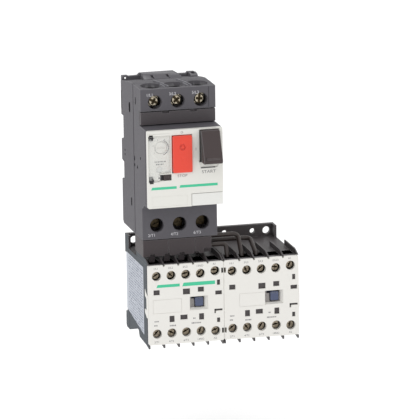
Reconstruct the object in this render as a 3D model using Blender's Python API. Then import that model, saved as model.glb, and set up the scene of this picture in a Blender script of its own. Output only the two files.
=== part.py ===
"""Reversing motor starter: a push-button motor circuit breaker over two mini contactors.

X runs right, Y runs back into the panel and Z runs up. The origin is on the rail seat
behind the left contactor, at the middle of its height. Every size below is in millimetres.
"""

import math

import bmesh
import bpy
from mathutils import Matrix, Vector

MM = 0.001
GAP = 0.3  # air between neighbouring pieces

# --- Contactors -----------------------------------------------------------------------
PITCH = 45.0  # from one contactor to the next
CONTACTOR_W = 44.7
SEAT_DEPTH = 3.5  # the rail seat lies this far in front of the rearmost face
RAIL_H = 35.6
FRONT = 57.0  # cover face, measured forward from the rearmost face
COVER_T = 2.5
COVER_TOP = 22.0
COVER_BOTTOM = -25.2
PLATE_TOP = 29.0
FIN_TOP = 24.8
FIN_T = 0.8
CAVITY_HALF_W = 20.5
CAVITY_HALF_H = 9.5
CAVITY_FLOOR = 5.6
POCKET_FLOOR = 41.7
POCKET_START = 10.3
POLES = 5
POLE_PITCH = 8.7
TOP_SCREW_Z = 15.5
BOTTOM_SCREW_Z = -18.7
CARRIER_TRAVEL = 4.0

# --- Circuit breaker ------------------------------------------------------------------
BREAKER_X = -1.1
BREAKER_W = 44.6
BREAKER_TOP = 124.1
BREAKER_BOTTOM = 35.4
SEAM = 31.3  # where the rear shell ends
TERMINAL_FACE = 48.6
FACE_BACK = 61.6
FACE = 64.2
FACE_TOP = 102.6
FACE_BOTTOM = 57.3
BREAKER_POLE_PITCH = 13.5
UPPER_SCREW_Z = 116.0
LOWER_SCREW_Z = 43.8
LID_T = 0.9

# --- Link block and jumpers -----------------------------------------------------------
LINK = ((-23.1, 17.6), (29.0, TERMINAL_FACE), (25.3, BREAKER_BOTTOM - GAP))
JUMPER_R = 1.35

for old in list(bpy.data.objects):
    bpy.data.objects.remove(old, do_unlink=True)

starter = bpy.data.collections.new("motor_starter")
tools = bpy.data.collections.new("cutters")
bpy.context.scene.collection.children.link(starter)
bpy.context.scene.collection.children.link(tools)


# --- Materials ------------------------------------------------------------------------
def material(name, colour, roughness, metallic=0.0):
    made = bpy.data.materials.new(name)
    made.use_nodes = True
    shader = made.node_tree.nodes["Principled BSDF"]
    shader.inputs["Base Color"].default_value = (*colour, 1.0)
    shader.inputs["Roughness"].default_value = roughness
    shader.inputs["Metallic"].default_value = metallic
    return made


slate = material("slate_plastic", (0.105, 0.105, 0.125), 0.55)
blue_slate = material("blue_slate_plastic", (0.13, 0.17, 0.21), 0.5)
brown_black = material("brown_black_plastic", (0.075, 0.065, 0.068), 0.5)
white = material("white_plastic", (0.79, 0.78, 0.74), 0.4)
red = material("red_plastic", (0.81, 0.088, 0.05), 0.35)
black = material("black_plastic", (0.1, 0.08, 0.078), 0.35)
blue = material("blue_plastic", (0.08, 0.11, 0.3), 0.4)
clear = material("clear_plastic", (0.85, 0.87, 0.86), 0.1)
steel = material("plated_steel", (0.62, 0.6, 0.55), 0.3, 1.0)
iron = material("laminated_iron", (0.25, 0.25, 0.26), 0.45, 1.0)
copper_coil = material("coil_tape", (0.32, 0.16, 0.05), 0.5)
wire_skin = material("wire_insulation", (0.06, 0.05, 0.05), 0.45)


# --- Shaping helpers ------------------------------------------------------------------
def y_at(depth):
    """World Y, in millimetres, of a point this far forward of the rearmost face."""
    return SEAT_DEPTH - depth


def add_box(bm, x, depth, z):
    """A box from its X range, its depth range and its Z range."""
    size = Vector((x[1] - x[0], depth[1] - depth[0], z[1] - z[0]))
    middle = Vector(((x[0] + x[1]) / 2, y_at((depth[0] + depth[1]) / 2), (z[0] + z[1]) / 2))
    place = Matrix.Translation(middle) @ Matrix.Diagonal((*size, 1.0))
    bmesh.ops.create_cube(bm, size=1.0, matrix=place)


def add_drum(bm, x, z, radius, depth, sides=16):
    """A cylinder along Y."""
    middle = Vector((x, y_at((depth[0] + depth[1]) / 2), z))
    place = Matrix.Translation(middle) @ Matrix.Rotation(math.pi / 2, 4, "X")
    bmesh.ops.create_cone(
        bm,
        cap_ends=True,
        segments=sides,
        radius1=radius,
        radius2=radius,
        depth=depth[1] - depth[0],
        matrix=place,
    )


def finish_object(name, bm, colour, collection, origin=(0.0, 0.0, 0.0)):
    """Turns millimetre mesh data into an object whose origin sits at the given point."""
    bmesh.ops.recalc_face_normals(bm, faces=bm.faces)
    bmesh.ops.translate(bm, verts=bm.verts, vec=-Vector(origin))
    bmesh.ops.scale(bm, verts=bm.verts, vec=(MM, MM, MM))
    mesh = bpy.data.meshes.new(name)
    bm.to_mesh(mesh)
    bm.free()
    if colour is not None:
        mesh.materials.append(colour)
    made = bpy.data.objects.new(name, mesh)
    made.location = Vector(origin) * MM
    collection.objects.link(made)
    return made


def solid(name, colour, shapes, origin=(0.0, 0.0, 0.0)):
    """An object made by one function call per shape, each given as (function, arguments)."""
    bm = bmesh.new()
    for make, *values in shapes:
        make(bm, *values)
    return finish_object(name, bm, colour, starter, origin)


def tool(name, shapes):
    """A cutter or an adder: shapes that don't touch one another."""
    bm = bmesh.new()
    for make, *values in shapes:
        make(bm, *values)
    made = finish_object(name, bm, None, tools)
    made.hide_render = True
    made.display_type = "WIRE"
    return made


def boolean(target, operation, name, shapes):
    change = target.modifiers.new(name, "BOOLEAN")
    change.operation = operation
    change.object = tool(name, shapes)
    change.solver = "EXACT"


def cut(target, label, shapes):
    boolean(target, "DIFFERENCE", f"{target.name}_cut_{label}", shapes)


def join(target, label, shapes):
    boolean(target, "UNION", f"{target.name}_add_{label}", shapes)


def add_prism(bm, outline, axis, low, high):
    """A flat outline pushed along X (points are depth, Z) or along Y (points are X, Z)."""
    curve = bpy.data.curves.new("outline", "CURVE")
    curve.dimensions = "2D"
    curve.fill_mode = "BOTH"
    curve.extrude = (high - low) / 2
    line = curve.splines.new("POLY")
    line.points.add(len(outline) - 1)
    middle = (low + high) / 2
    for point, (a, b) in zip(line.points, outline):
        point.co = (y_at(a) if axis == "X" else a, b, 0.0, 1.0)
    line.use_cyclic_u = True
    drawn = bpy.data.objects.new("outline", curve)
    tools.objects.link(drawn)
    bpy.context.view_layer.update()
    mesh = bpy.data.meshes.new_from_object(drawn.evaluated_get(bpy.context.evaluated_depsgraph_get()))
    if axis == "X":
        turn = Matrix(((0, 0, 1, middle), (1, 0, 0, 0), (0, 1, 0, 0), (0, 0, 0, 1)))
    else:
        turn = Matrix(((1, 0, 0, 0), (0, 0, -1, y_at(middle)), (0, 1, 0, 0), (0, 0, 0, 1)))
    mesh.transform(turn)
    piece = bmesh.new()
    piece.from_mesh(mesh)
    bmesh.ops.remove_doubles(piece, verts=piece.verts, dist=0.001)
    welded = bpy.data.meshes.new("welded")
    piece.to_mesh(welded)
    piece.free()
    bm.from_mesh(welded)
    bpy.data.objects.remove(drawn, do_unlink=True)
    bpy.data.meshes.remove(mesh)
    bpy.data.meshes.remove(welded)


def rounded(x, z, radius, steps=3):
    """A rectangle's outline with arcs at its corners."""
    corners = (
        (x[1] - radius, z[1] - radius, 0),
        (x[0] + radius, z[1] - radius, 90),
        (x[0] + radius, z[0] + radius, 180),
        (x[1] - radius, z[0] + radius, 270),
    )
    points = []
    for cx, cz, start in corners:
        for step in range(steps + 1):
            angle = math.radians(start + 90 * step / steps)
            points.append((cx + radius * math.cos(angle), cz + radius * math.sin(angle)))
    return points


def baked(made):
    """Applies an object's modifiers, for a mesh that several objects will share."""
    bpy.context.view_layer.update()
    mesh = bpy.data.meshes.new_from_object(made.evaluated_get(bpy.context.evaluated_depsgraph_get()))
    for used in list(made.modifiers):
        bpy.data.objects.remove(used.object, do_unlink=True)
    bpy.data.objects.remove(made, do_unlink=True)
    return mesh


def pole_x(index):
    return (index - (POLES - 1) / 2) * POLE_PITCH


# --- Terminals: pad, screw shank, clamp washer and cross-slotted head ------------------
def terminal_mesh(pad, clamp, head_r, depths, reach=0.0):
    """One terminal about its own screw axis. depths are pad, washer and head starts."""
    pad_at, washer_at, head_at, head_end = depths
    made = solid(
        "terminal_pattern",
        steel,
        [(add_box, (-pad, pad), (pad_at, pad_at + 1.2), (-pad, pad))],
        (0.0, y_at(pad_at), 0.0),
    )
    join(made, "shank", [(add_drum, 0, 0, head_r * 0.55, (pad_at + 0.5, washer_at + 0.6), 8)])
    join(made, "washer", [(add_box, (-clamp, clamp), (washer_at, washer_at + 1.2), (-clamp, clamp))])
    join(made, "head", [(add_drum, 0, 0, head_r, (head_at, head_end), 14)])
    if reach:
        strip = (-reach, -pad + 0.5) if reach > 0 else (pad - 0.5, -reach)
        join(made, "strip", [(add_box, (-2.0, 2.0), (pad_at, pad_at + 1.0), strip)])
    slot = head_r * 0.16
    length = head_r * 0.62
    groove = (head_end - 1.0, head_end + 1.0)
    cut(made, "slot_a", [(add_box, (-length, length), groove, (-slot, slot))])
    cut(made, "slot_b", [(add_box, (-slot, slot), groove, (-length, length))])
    return baked(made)


def place_terminal(name, mesh, x, z, depth):
    made = bpy.data.objects.new(name, mesh)
    made.location = Vector((x, y_at(depth), z)) * MM
    starter.objects.link(made)


# --- One contactor ---------------------------------------------------------------------
def fin_places(cx):
    """World X of the six dividing fins: one at each side wall and one between each two poles."""
    edge = CONTACTOR_W / 2 - FIN_T / 2 - 0.05
    between = [cx + pole_x(index) + POLE_PITCH / 2 for index in range(POLES - 1)]
    return [cx - edge, *between, cx + edge]


def contactor_base(side, cx, outer):
    """Slate body: rail feet, central magnet well, terminal pockets and dividing fins."""
    half = CONTACTOR_W / 2
    rail = RAIL_H / 2
    body_front = FRONT - COVER_T - GAP
    profile = (
        (0.0, PLATE_TOP),
        (0.0, rail),
        (SEAT_DEPTH, rail),
        (SEAT_DEPTH, -rail),
        (0.0, -rail),
        (0.0, -26.0),
        (1.4, -27.4),
        (8.4, -27.4),
        (28.4, -22.1),
        (31.0, -22.1),
        (33.0, -25.7),
        (body_front, -26.8),
        (body_front, 21.6),
        (3.0, 21.6),
        (3.0, PLATE_TOP),
    )
    body = solid(f"{side}_base", blue_slate, [(add_prism, profile, "X", cx - half, cx + half)])
    well = ((cx - CAVITY_HALF_W, cx + CAVITY_HALF_W), (CAVITY_FLOOR, 60), (-CAVITY_HALF_H, CAVITY_HALF_H))
    cut(body, "well", [(add_box, *well)])
    pockets = []
    slots = []
    for index in range(POLES):
        x = cx + pole_x(index)
        wide = (x - 3.9, x + 3.9)
        pockets.append((add_box, wide, (POCKET_FLOOR, 60), (POCKET_START, 40)))
        pockets.append((add_box, wide, (POCKET_FLOOR, 60), (-40, -POCKET_START)))
        slots.append((add_box, (x - 2.3, x + 2.3), (POCKET_FLOOR, 43.4), (8.5, 11.5)))
        slots.append((add_box, (x - 2.3, x + 2.3), (POCKET_FLOOR, 43.4), (-11.5, -8.5)))
    cut(body, "pockets", pockets)
    cut(body, "strip_slots", slots)
    window = (cx + half - 3, cx + half + 3) if outer < 0 else (cx - half - 3, cx - half + 3)
    cut(body, "rocker_window", [(add_box, window, (33, 43), (-3.6, 3.6))])
    inner = body_front - 0.1
    top_fin = (
        (28.0, 20.8),
        (28.0, FIN_TOP),
        (50.0, FIN_TOP),
        (FRONT, COVER_TOP + 0.7),
        (FRONT, COVER_TOP + GAP),
        (inner, COVER_TOP + GAP),
        (inner, 20.8),
    )
    low_fin = (
        (44.0, -25.0),
        (inner, -25.0),
        (inner, COVER_BOTTOM - GAP),
        (56.6, COVER_BOTTOM - GAP),
        (56.6, -27.4),
        (55.6, -27.7),
        (44.0, -25.6),
    )
    fins = []
    for x in fin_places(cx):
        fins.append((add_prism, top_fin, "X", x - FIN_T / 2, x + FIN_T / 2))
        fins.append((add_prism, low_fin, "X", x - FIN_T / 2, x + FIN_T / 2))
    join(body, "fins", fins)
    ear_x = cx + outer * (half - 0.8)
    join(body, "ear", [(add_box, (ear_x - 0.7, ear_x + 0.7), (1.0, 8.5), (20.0, PLATE_TOP - 0.05))])
    hole_x = cx - 17.5 if outer < 0 else cx + 17.5
    cut(body, "fixing_hole", [(add_drum, hole_x, 25.0, 2.25, (-1, 4), 16)])
    small = [cx - 8.0, cx + 9.0]
    cut(body, "sight_holes", [(add_drum, x, 25.2, 1.6, (-1, 4), 12) for x in small])
    return body


COVER_WINDOWS = (
    # middle across, middle below the cover's top, width, height
    (4.9, 16.1, 3.2, 2.7),
    (22.6, 16.6, 3.8, 3.0),
    (31.2, 15.9, 3.3, 2.5),
    (41.7, 12.5, 1.6, 3.0),
    (41.7, 18.6, 3.6, 2.2),
    (13.8, 32.3, 2.8, 3.5),
    (20.9, 31.7, 3.8, 2.5),
    (31.4, 32.1, 2.8, 3.5),
    (41.5, 28.9, 4.3, 0.9),
    (41.5, 34.9, 1.7, 2.7),
)
CARRIER_WINDOW = (7.4, -1.9, 9.6, 6.7)  # across from the contactor's middle, height, size
CARRIER_NOSE = (8.0, -1.4, 4.7, 5.2)


def contactor_cover(side, cx):
    """White front plate with screw holes, marker windows and two clip tabs on each side."""
    half = CONTACTOR_W / 2
    back = FRONT - COVER_T
    outline = rounded((cx - half, cx + half), (COVER_BOTTOM, COVER_TOP), 0.6, 1)
    plate = solid(f"{side}_cover", white, [(add_prism, outline, "Y", back, FRONT)])
    holes = []
    for index in range(POLES):
        last = index == POLES - 1
        top_z = TOP_SCREW_Z + (0.9 if last else 0.0)
        low_z = BOTTOM_SCREW_Z - (0.6 if last else 0.0)
        holes.append((add_drum, cx + pole_x(index), top_z, 2.75, (50, 60), 14))
        holes.append((add_drum, cx + pole_x(index), low_z, 2.75, (50, 60), 14))
    for across, below, width, height in COVER_WINDOWS:
        x = cx - half + across
        z = COVER_TOP - below
        wide = (x - width / 2, x + width / 2)
        holes.append((add_box, wide, (50, 60), (z - height / 2, z + height / 2)))
    x, z, width, height = CARRIER_WINDOW
    wide = (cx + x - width / 2, cx + x + width / 2)
    holes.append((add_box, wide, (50, 60), (z - height / 2, z + height / 2)))
    cut(plate, "holes", holes)
    return plate


def contactor_moving(side, cx):
    """Carrier with its contact bridges, and the armature fixed behind it."""
    rest = (cx, y_at(44.6), 0.0)
    carrier = solid(
        f"{side}_contact_carrier",
        blue,
        [(add_box, (cx - 19.6, cx + 19.6), (44.6, 50.5), (-4.2, 4.2))],
        rest,
    )
    join(carrier, "stem", [(add_box, (cx - 8, cx + 8), (33.9, 46.0), (-4.0, 4.0))])
    bridges = []
    for index in range(POLES - 1):
        x = cx + pole_x(index)
        bridges.append((add_box, (x - 1.7, x + 1.7), (47.4, 48.6), (-8.6, 8.6)))
    join(carrier, "bridges", bridges)
    x, z, width, height = CARRIER_NOSE
    nose = rounded((cx + x - width / 2, cx + x + width / 2), (z - height / 2, z + height / 2), 0.5, 2)
    join(carrier, "nose", [(add_prism, nose, "Y", 49.5, 55.8)])
    armature = (
        (-14.5, 23.7),
        (-14.5, 33.6),
        (14.5, 33.6),
        (14.5, 23.7),
        (10.5, 23.7),
        (10.5, 28.6),
        (3.6, 28.6),
        (3.6, 23.7),
        (-3.6, 23.7),
        (-3.6, 28.6),
        (-10.5, 28.6),
        (-10.5, 23.7),
    )
    magnet(f"{side}_armature", cx, armature)


def magnet(name, cx, outline):
    """A laminated E core: its outline is X by depth, and it is stacked along Z."""
    bm = bmesh.new()
    corners = [bm.verts.new((cx + x, y_at(depth), -6.5)) for x, depth in outline]
    face = bm.faces.new(corners)
    raised = bmesh.ops.extrude_face_region(bm, geom=[face])
    lifted = [part for part in raised["geom"] if isinstance(part, bmesh.types.BMVert)]
    bmesh.ops.translate(bm, verts=lifted, vec=(0, 0, 13.0))
    return finish_object(name, bm, iron, starter, (cx, y_at(outline[0][1]), 0.0))


def contactor_fixed(side, cx):
    """Fixed core and the coil around its middle leg."""
    core = (
        (-14.5, 19.4),
        (-14.5, 5.9),
        (14.5, 5.9),
        (14.5, 19.4),
        (10.5, 19.4),
        (10.5, 10.9),
        (3.6, 10.9),
        (3.6, 19.4),
        (-3.6, 19.4),
        (-3.6, 10.9),
        (-10.5, 10.9),
        (-10.5, 19.4),
    )
    magnet(f"{side}_fixed_core", cx, core)
    coil = solid(
        f"{side}_coil",
        copper_coil,
        [(add_prism, rounded((cx - 9.9, cx + 9.9), (-9.2, 9.2), 1.5), "Y", 11.2, 23.4)],
    )
    cut(coil, "bore", [(add_box, (cx - 3.9, cx + 3.9), (8, 30), (-6.8, 6.8))])
    turned = [(add_prism, rounded((cx - 11, cx + 11), (-11, 11), 1.5), "Y", 12.6, 22.0)]
    ring = tool(f"{side}_coil_waist", turned)
    core_left = ring.modifiers.new("middle", "BOOLEAN")
    core_left.operation = "DIFFERENCE"
    core_left.solver = "EXACT"
    keep = [(add_prism, rounded((cx - 9.0, cx + 9.0), (-8.4, 8.4), 1.2), "Y", 10, 25)]
    core_left.object = tool(f"{side}_coil_keep", keep)
    waist = coil.modifiers.new("waist", "BOOLEAN")
    waist.operation = "DIFFERENCE"
    waist.solver = "EXACT"
    waist.object = ring


def return_spring(side, cx):
    """Compression spring between the coil and the armature's back."""
    turns = 2.5
    steps = int(turns * 14)
    radius = 8.3
    curve = bpy.data.curves.new(f"{side}_return_spring", "CURVE")
    curve.dimensions = "3D"
    curve.bevel_depth = 0.4 * MM
    curve.bevel_resolution = 1
    curve.use_fill_caps = True
    line = curve.splines.new("POLY")
    line.points.add(steps)
    for step, point in enumerate(line.points):
        angle = math.tau * turns * step / steps
        depth = 24.2 + 3.8 * step / steps
        place = Vector((radius * math.cos(angle), y_at(depth) - y_at(26.0), radius * math.sin(angle)))
        point.co = (*(place * MM), 1.0)
    made = bpy.data.objects.new(f"{side}_return_spring", curve)
    made.location = Vector((cx, y_at(26.0), 0.0)) * MM
    curve.materials.append(steel)
    starter.objects.link(made)


top_terminal = terminal_mesh(3.3, 3.2, 2.3, (42.0, 49.0, 50.0, 53.8), TOP_SCREW_Z - 5.6)
low_terminal = terminal_mesh(3.3, 3.2, 2.3, (42.0, 49.0, 50.0, 53.8), BOTTOM_SCREW_Z + 5.6)

for side, middle, outward in (("left", 0.0, -1), ("right", PITCH, 1)):
    contactor_base(side, middle, outward)
    contactor_cover(side, middle)
    contactor_moving(side, middle)
    contactor_fixed(side, middle)
    return_spring(side, middle)
    for pole in range(POLES):
        coil_end = pole == POLES - 1
        top_z = TOP_SCREW_Z + (0.9 if coil_end else 0.0)
        low_z = BOTTOM_SCREW_Z - (0.6 if coil_end else 0.0)
        x_middle = middle + pole_x(pole)
        place_terminal(f"{side}_top_terminal_{pole + 1}", top_terminal, x_middle, top_z, 42.0)
        place_terminal(f"{side}_bottom_terminal_{pole + 1}", low_terminal, x_middle, low_z, 42.0)


# --- Interlock rocker between the two contactors ---------------------------------------
def interlock_rocker():
    axis_x = PITCH / 2
    rocker = solid(
        "interlock_rocker",
        brown_black,
        [(add_box, (axis_x - 6.8, axis_x + 6.8), (36.9, 39.1), (-2.5, 2.5))],
        (axis_x, y_at(38.0), 0.0),
    )
    bm = bmesh.new()
    place = Matrix.Translation((axis_x, y_at(38.0), 0.0))
    bmesh.ops.create_cone(
        bm, cap_ends=True, segments=16, radius1=1.9, radius2=1.9, depth=6.4, matrix=place
    )
    hub = finish_object("interlock_rocker_hub", bm, None, tools)
    hub.hide_render = True
    hub.display_type = "WIRE"
    change = rocker.modifiers.new("hub", "BOOLEAN")
    change.operation = "UNION"
    change.solver = "EXACT"
    change.object = hub


interlock_rocker()


# --- Circuit breaker -------------------------------------------------------------------
def across(u):
    """World X of a point this far right of the breaker's left edge."""
    return BREAKER_X - BREAKER_W / 2 + u


def down(w):
    """World Z of a point this far below the top of the breaker's white face."""
    return FACE_TOP - w


def breaker_poles():
    return [BREAKER_X + (index - 1) * BREAKER_POLE_PITCH for index in range(3)]


def breaker_rear():
    """Rear shell: rail channel with its central rib, latch pocket and mechanism well."""
    left, right = across(0), across(BREAKER_W)
    profile = (
        (0.5, BREAKER_TOP),
        (0.5, 100.1),
        (5.5, 100.1),
        (5.5, 86.8),
        (0.5, 86.0),
        (0.5, 73.4),
        (5.5, 72.6),
        (5.5, 62.2),
        (0.5, 62.2),
        (0.5, 38.0),
        (3.0, BREAKER_BOTTOM),
        (SEAM, BREAKER_BOTTOM),
        (SEAM, BREAKER_TOP),
    )
    shell = solid("breaker_rear_shell", slate, [(add_prism, profile, "X", left, right)])
    cut(shell, "well", [(add_box, (left + 2.5, right - 2.5), (8.0, 40), (58.5, 101.0))])
    cut(shell, "latch_pocket", [(add_box, (BREAKER_X - 9.3, BREAKER_X + 9.3), (-1, 4.6), (38.4, 63.0))])
    ridge = ((18.0, 123.0), (28.5, 123.0), (26.5, 126.2), (19.5, 126.2))
    join(shell, "ridge", [(add_prism, ridge, "X", across(4.5), across(40.5))])
    return shell


def breaker_front():
    """Front shell: terminal blocks above and below, raised middle carrying the white face."""
    left, right = across(0), across(BREAKER_W)
    back = SEAM + GAP
    raised = FACE_BACK - GAP
    profile = (
        (back, BREAKER_BOTTOM),
        (TERMINAL_FACE, BREAKER_BOTTOM),
        (TERMINAL_FACE, 54.5),
        (54.0, 57.3),
        (raised, 57.6),
        (raised, 102.4),
        (45.5, 102.4),
        (45.5, 110.9),
        (TERMINAL_FACE, 110.9),
        (TERMINAL_FACE, BREAKER_TOP),
        (back, BREAKER_TOP),
    )
    shell = solid("breaker_front_shell", slate, [(add_prism, profile, "X", left, right)])
    cut(shell, "well", [(add_box, (left + 2.5, right - 2.5), (20, 58.5), (60.5, 99.0))])
    pockets = []
    mouths = []
    for x in breaker_poles():
        pockets.append((add_box, (x - 5.6, x + 5.6), (33.6, 45.6), (111.3, 130)))
        pockets.append((add_box, (x - 5.6, x + 5.6), (33.6, 45.6), (30, 48.5)))
        mouths.append((add_drum, x, UPPER_SCREW_Z, 4.0, (44, 60), 18))
        mouths.append((add_drum, x, LOWER_SCREW_Z, 4.0, (44, 60), 18))
    cut(shell, "pockets", pockets)
    cut(shell, "screw_mouths", mouths)
    ports = [
        (add_box, (across(30.8), across(42.6)), (50, 70), (down(19.9), down(0.8))),
        (add_box, (across(14.5), across(26.5)), (50, 70), (down(25.2), down(3.1))),
        (add_drum, across(8.4), down(10.1), 1.6, (50, 70), 12),
    ]
    cut(shell, "ports", ports)
    return shell


def shoulder_strip():
    """Separate cover strip between the upper terminals and the raised face."""
    z_low, z_high = 102.7, 110.6
    strip = solid(
        "breaker_shoulder_strip",
        brown_black,
        [(add_box, (across(0.2), across(BREAKER_W - 0.2)), (45.8, TERMINAL_FACE), (z_low, z_high))],
    )
    notches = []
    for u in (15.0, 31.5):
        notches.append((add_box, (across(u - 2), across(u + 2)), (46.9, 60), (z_high - 1.3, z_high + 1)))
    cut(strip, "notches", notches)


def lid_outline(grow):
    """The clear lid's shape, with the corner left free for the test slider."""
    left, right = across(1.0) - grow, across(13.4) + grow
    top, step, low = down(3.3) + grow, down(24.9) - grow, down(29.6) - grow
    inner = across(7.2) + grow
    return ((left, top), (left, low), (inner, low), (inner, step), (right, step), (right, top))


def white_face():
    """White face plate with ports for both buttons, the dial and the test slider."""
    outline = rounded((across(0.1), across(BREAKER_W - 0.1)), (FACE_BOTTOM, FACE_TOP), 0.8, 2)
    face = solid("breaker_face", white, [(add_prism, outline, "Y", FACE_BACK, FACE)])
    ports = [
        (add_box, (across(30.8), across(42.6)), (50, 70), (down(19.9), down(0.8))),
        (add_box, (across(14.5), across(26.5)), (50, 70), (down(25.2), down(3.1))),
        (add_drum, across(8.4), down(10.1), 3.7, (50, 70), 20),
        (add_box, (across(7.6), across(14.1)), (50, 70), (down(29.3), down(25.7))),
    ]
    cut(face, "lid_recess", [(add_prism, lid_outline(GAP), "Y", FACE - LID_T - GAP, 70)])
    cut(face, "ports", ports)
    marker = (add_box, (across(25.7), across(50)), (FACE - 1.1, 70), (50, down(37.8)))
    cut(face, "marker_recess", [marker])


def breaker_controls():
    """Buttons, dial, slider, lid, marker plate and rail latch, each on its own axis."""
    stop_x = (across(14.8), across(26.2))
    stop_z = (down(24.9), down(3.4))
    stop = solid(
        "stop_button",
        red,
        [(add_prism, rounded(stop_x, stop_z, 0.8, 2), "Y", 59.4, 66.0)],
        (sum(stop_x) / 2, y_at(66.0), sum(stop_z) / 2),
    )
    stem = ((sum(stop_x) / 2 - 3, sum(stop_x) / 2 + 3), (52.5, 60.0), (84, 92))
    join(stop, "stem", [(add_box, *stem)])

    start_x = (across(31.1), across(42.3))
    wedge = (
        (60.0, down(1.1)),
        (66.6, down(1.1)),
        (67.2, down(1.9)),
        (73.7, down(16.6)),
        (73.9, down(18.0)),
        (73.2, down(19.2)),
        (60.0, down(19.6)),
    )
    start = solid(
        "start_button",
        black,
        [(add_prism, wedge, "X", *start_x)],
        (sum(start_x) / 2, y_at(73.9), down(10.3)),
    )
    stem = ((sum(start_x) / 2 - 3, sum(start_x) / 2 + 3), (55.5, 61.0), (88, 96))
    join(start, "stem", [(add_box, *stem)])

    dial_x, dial_z = across(8.4), down(10.1)
    dial = solid(
        "setting_dial",
        white,
        [(add_drum, dial_x, dial_z, 3.4, (61.7, 62.9), 24)],
        (dial_x, y_at(62.9), dial_z),
    )
    join(dial, "stem", [(add_drum, dial_x, dial_z, 1.3, (55.0, 62.2), 10)])
    cut(dial, "slot", [(add_box, (dial_x - 2.2, dial_x + 2.2), (62.3, 64), (dial_z - 0.4, dial_z + 0.4))])

    solid(
        "test_slider",
        black,
        [(add_box, (across(9.6), across(13.8)), (61.7, 63.7), (down(29.0), down(26.0)))],
        (across(11.7), y_at(63.7), down(27.5)),
    )
    solid(
        "dial_lid",
        clear,
        [(add_prism, lid_outline(0.0), "Y", FACE - LID_T, FACE)],
        (across(1.0), y_at(FACE), down(16.0)),
    )
    solid(
        "marker_plate",
        white,
        [(add_box, (across(26.0), across(BREAKER_W - 0.3)), (FACE - 0.8, FACE), (57.5, down(38.1)))],
    )
    latch = ((0.9, 42.8), (0.9, 62.6), (2.4, 64.2), (4.3, 64.2), (4.3, 42.8))
    solid(
        "breaker_rail_latch",
        brown_black,
        [(add_prism, latch, "X", BREAKER_X - 9.0, BREAKER_X + 9.0)],
        (BREAKER_X, y_at(2.5), 53.0),
    )


def trip_mechanism():
    """Switching mechanism frame with its three trip coils, filling the well."""
    frame = solid(
        "trip_mechanism",
        brown_black,
        [(add_box, (BREAKER_X - 18.5, BREAKER_X + 18.5), (9.0, 34.0), (76.0, 98.0))],
    )
    raised = (add_box, (BREAKER_X - 12.0, BREAKER_X + 18.0), (33.0, 49.5), (78.0, 96.0))
    join(frame, "latch_gear", [raised])
    coils = [(add_drum, x, 69.5, 5.5, (10.0, 30.0), 14) for x in breaker_poles()]
    join(frame, "trip_coils", coils)
    posts = [(add_box, (x - 2.0, x + 2.0), (12.0, 28.0), (72.0, 78.0)) for x in breaker_poles()]
    join(frame, "posts", posts)


def link_block():
    """Block joining the breaker's outputs to the left contactor, with its flat conductors."""
    x, depth, z = LINK
    block = solid("link_block", brown_black, [(add_box, x, depth, z)])
    prongs = []
    for pole_at in breaker_poles():
        prongs.append((add_box, (pole_at - 2.5, pole_at + 2.5), (37.0, 38.5), (z[1] - 2, 41.4)))
    for index in range(3):
        pole_at = pole_x(index)
        prongs.append((add_box, (pole_at - 1.8, pole_at + 1.8), (45.0, 46.5), (17.7, z[0] + 2)))
    join(block, "prongs", prongs)


breaker_rear()
breaker_front()
shoulder_strip()
white_face()
breaker_controls()
trip_mechanism()
link_block()

breaker_terminal = terminal_mesh(4.2, 3.6, 2.85, (34.2, 40.2, 41.2, 44.8))
for number, x_pole in enumerate(breaker_poles(), 1):
    place_terminal(f"breaker_line_terminal_{number}", breaker_terminal, x_pole, UPPER_SCREW_Z, 34.2)
    place_terminal(f"breaker_load_terminal_{number}", breaker_terminal, x_pole, LOWER_SCREW_Z, 34.2)


# --- Jumper wires from the link block to the right contactor ---------------------------
def bend(path, radius, steps=4):
    """A route with an arc at each inner corner."""
    points = [Vector(path[0])]
    for before, corner, after in zip(path, path[1:], path[2:]):
        before, corner, after = Vector(before), Vector(corner), Vector(after)
        start = corner + (before - corner).normalized() * radius
        end = corner + (after - corner).normalized() * radius
        for step in range(steps + 1):
            share = step / steps
            first = start.lerp(corner, share)
            second = corner.lerp(end, share)
            points.append(first.lerp(second, share))
    points.append(Vector(path[-1]))
    return points


def jumper(number, depth, height):
    """Insulated wire: out of the link block's side, across, and down to a top terminal."""
    name = f"jumper_wire_{number}"
    end_x = PITCH + pole_x(number - 1)
    start_x = LINK[0][1] + GAP
    route = [
        (start_x, y_at(depth), height),
        (end_x, y_at(depth), height),
        (end_x, y_at(46.0), TOP_SCREW_Z + 6.0),
        (end_x, y_at(46.0), TOP_SCREW_Z + 2.2),
    ]
    curve = bpy.data.curves.new(name, "CURVE")
    curve.dimensions = "3D"
    curve.bevel_depth = JUMPER_R * MM
    curve.bevel_resolution = 2
    curve.use_fill_caps = True
    points = bend(route, 3.2 if number > 1 else 2.4)
    line = curve.splines.new("POLY")
    line.points.add(len(points) - 1)
    for point, place in zip(line.points, points):
        point.co = (*(place * MM), 1.0)
    curve.materials.append(wire_skin)
    made = bpy.data.objects.new(name, curve)
    starter.objects.link(made)


jumper(1, 42.5, 28.6)
jumper(2, 36.5, 32.6)
jumper(3, 31.0, 28.4)
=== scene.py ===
# %% [markdown]
# # A reversing motor starter, one moulded piece at a time
# The object is a push-button motor circuit breaker standing over two small contactors.
# A finished mechanical model already gives every piece its place, size and joint. This lesson
# opens that model as a frame and dresses it: each visible piece is modelled again with soft
# edges and small detail, gets a material, and is tied to the body it moves with.

# %% Open the frame
import math
from types import SimpleNamespace

import bmesh
import bpy
from mathutils import Matrix, Vector


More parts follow.
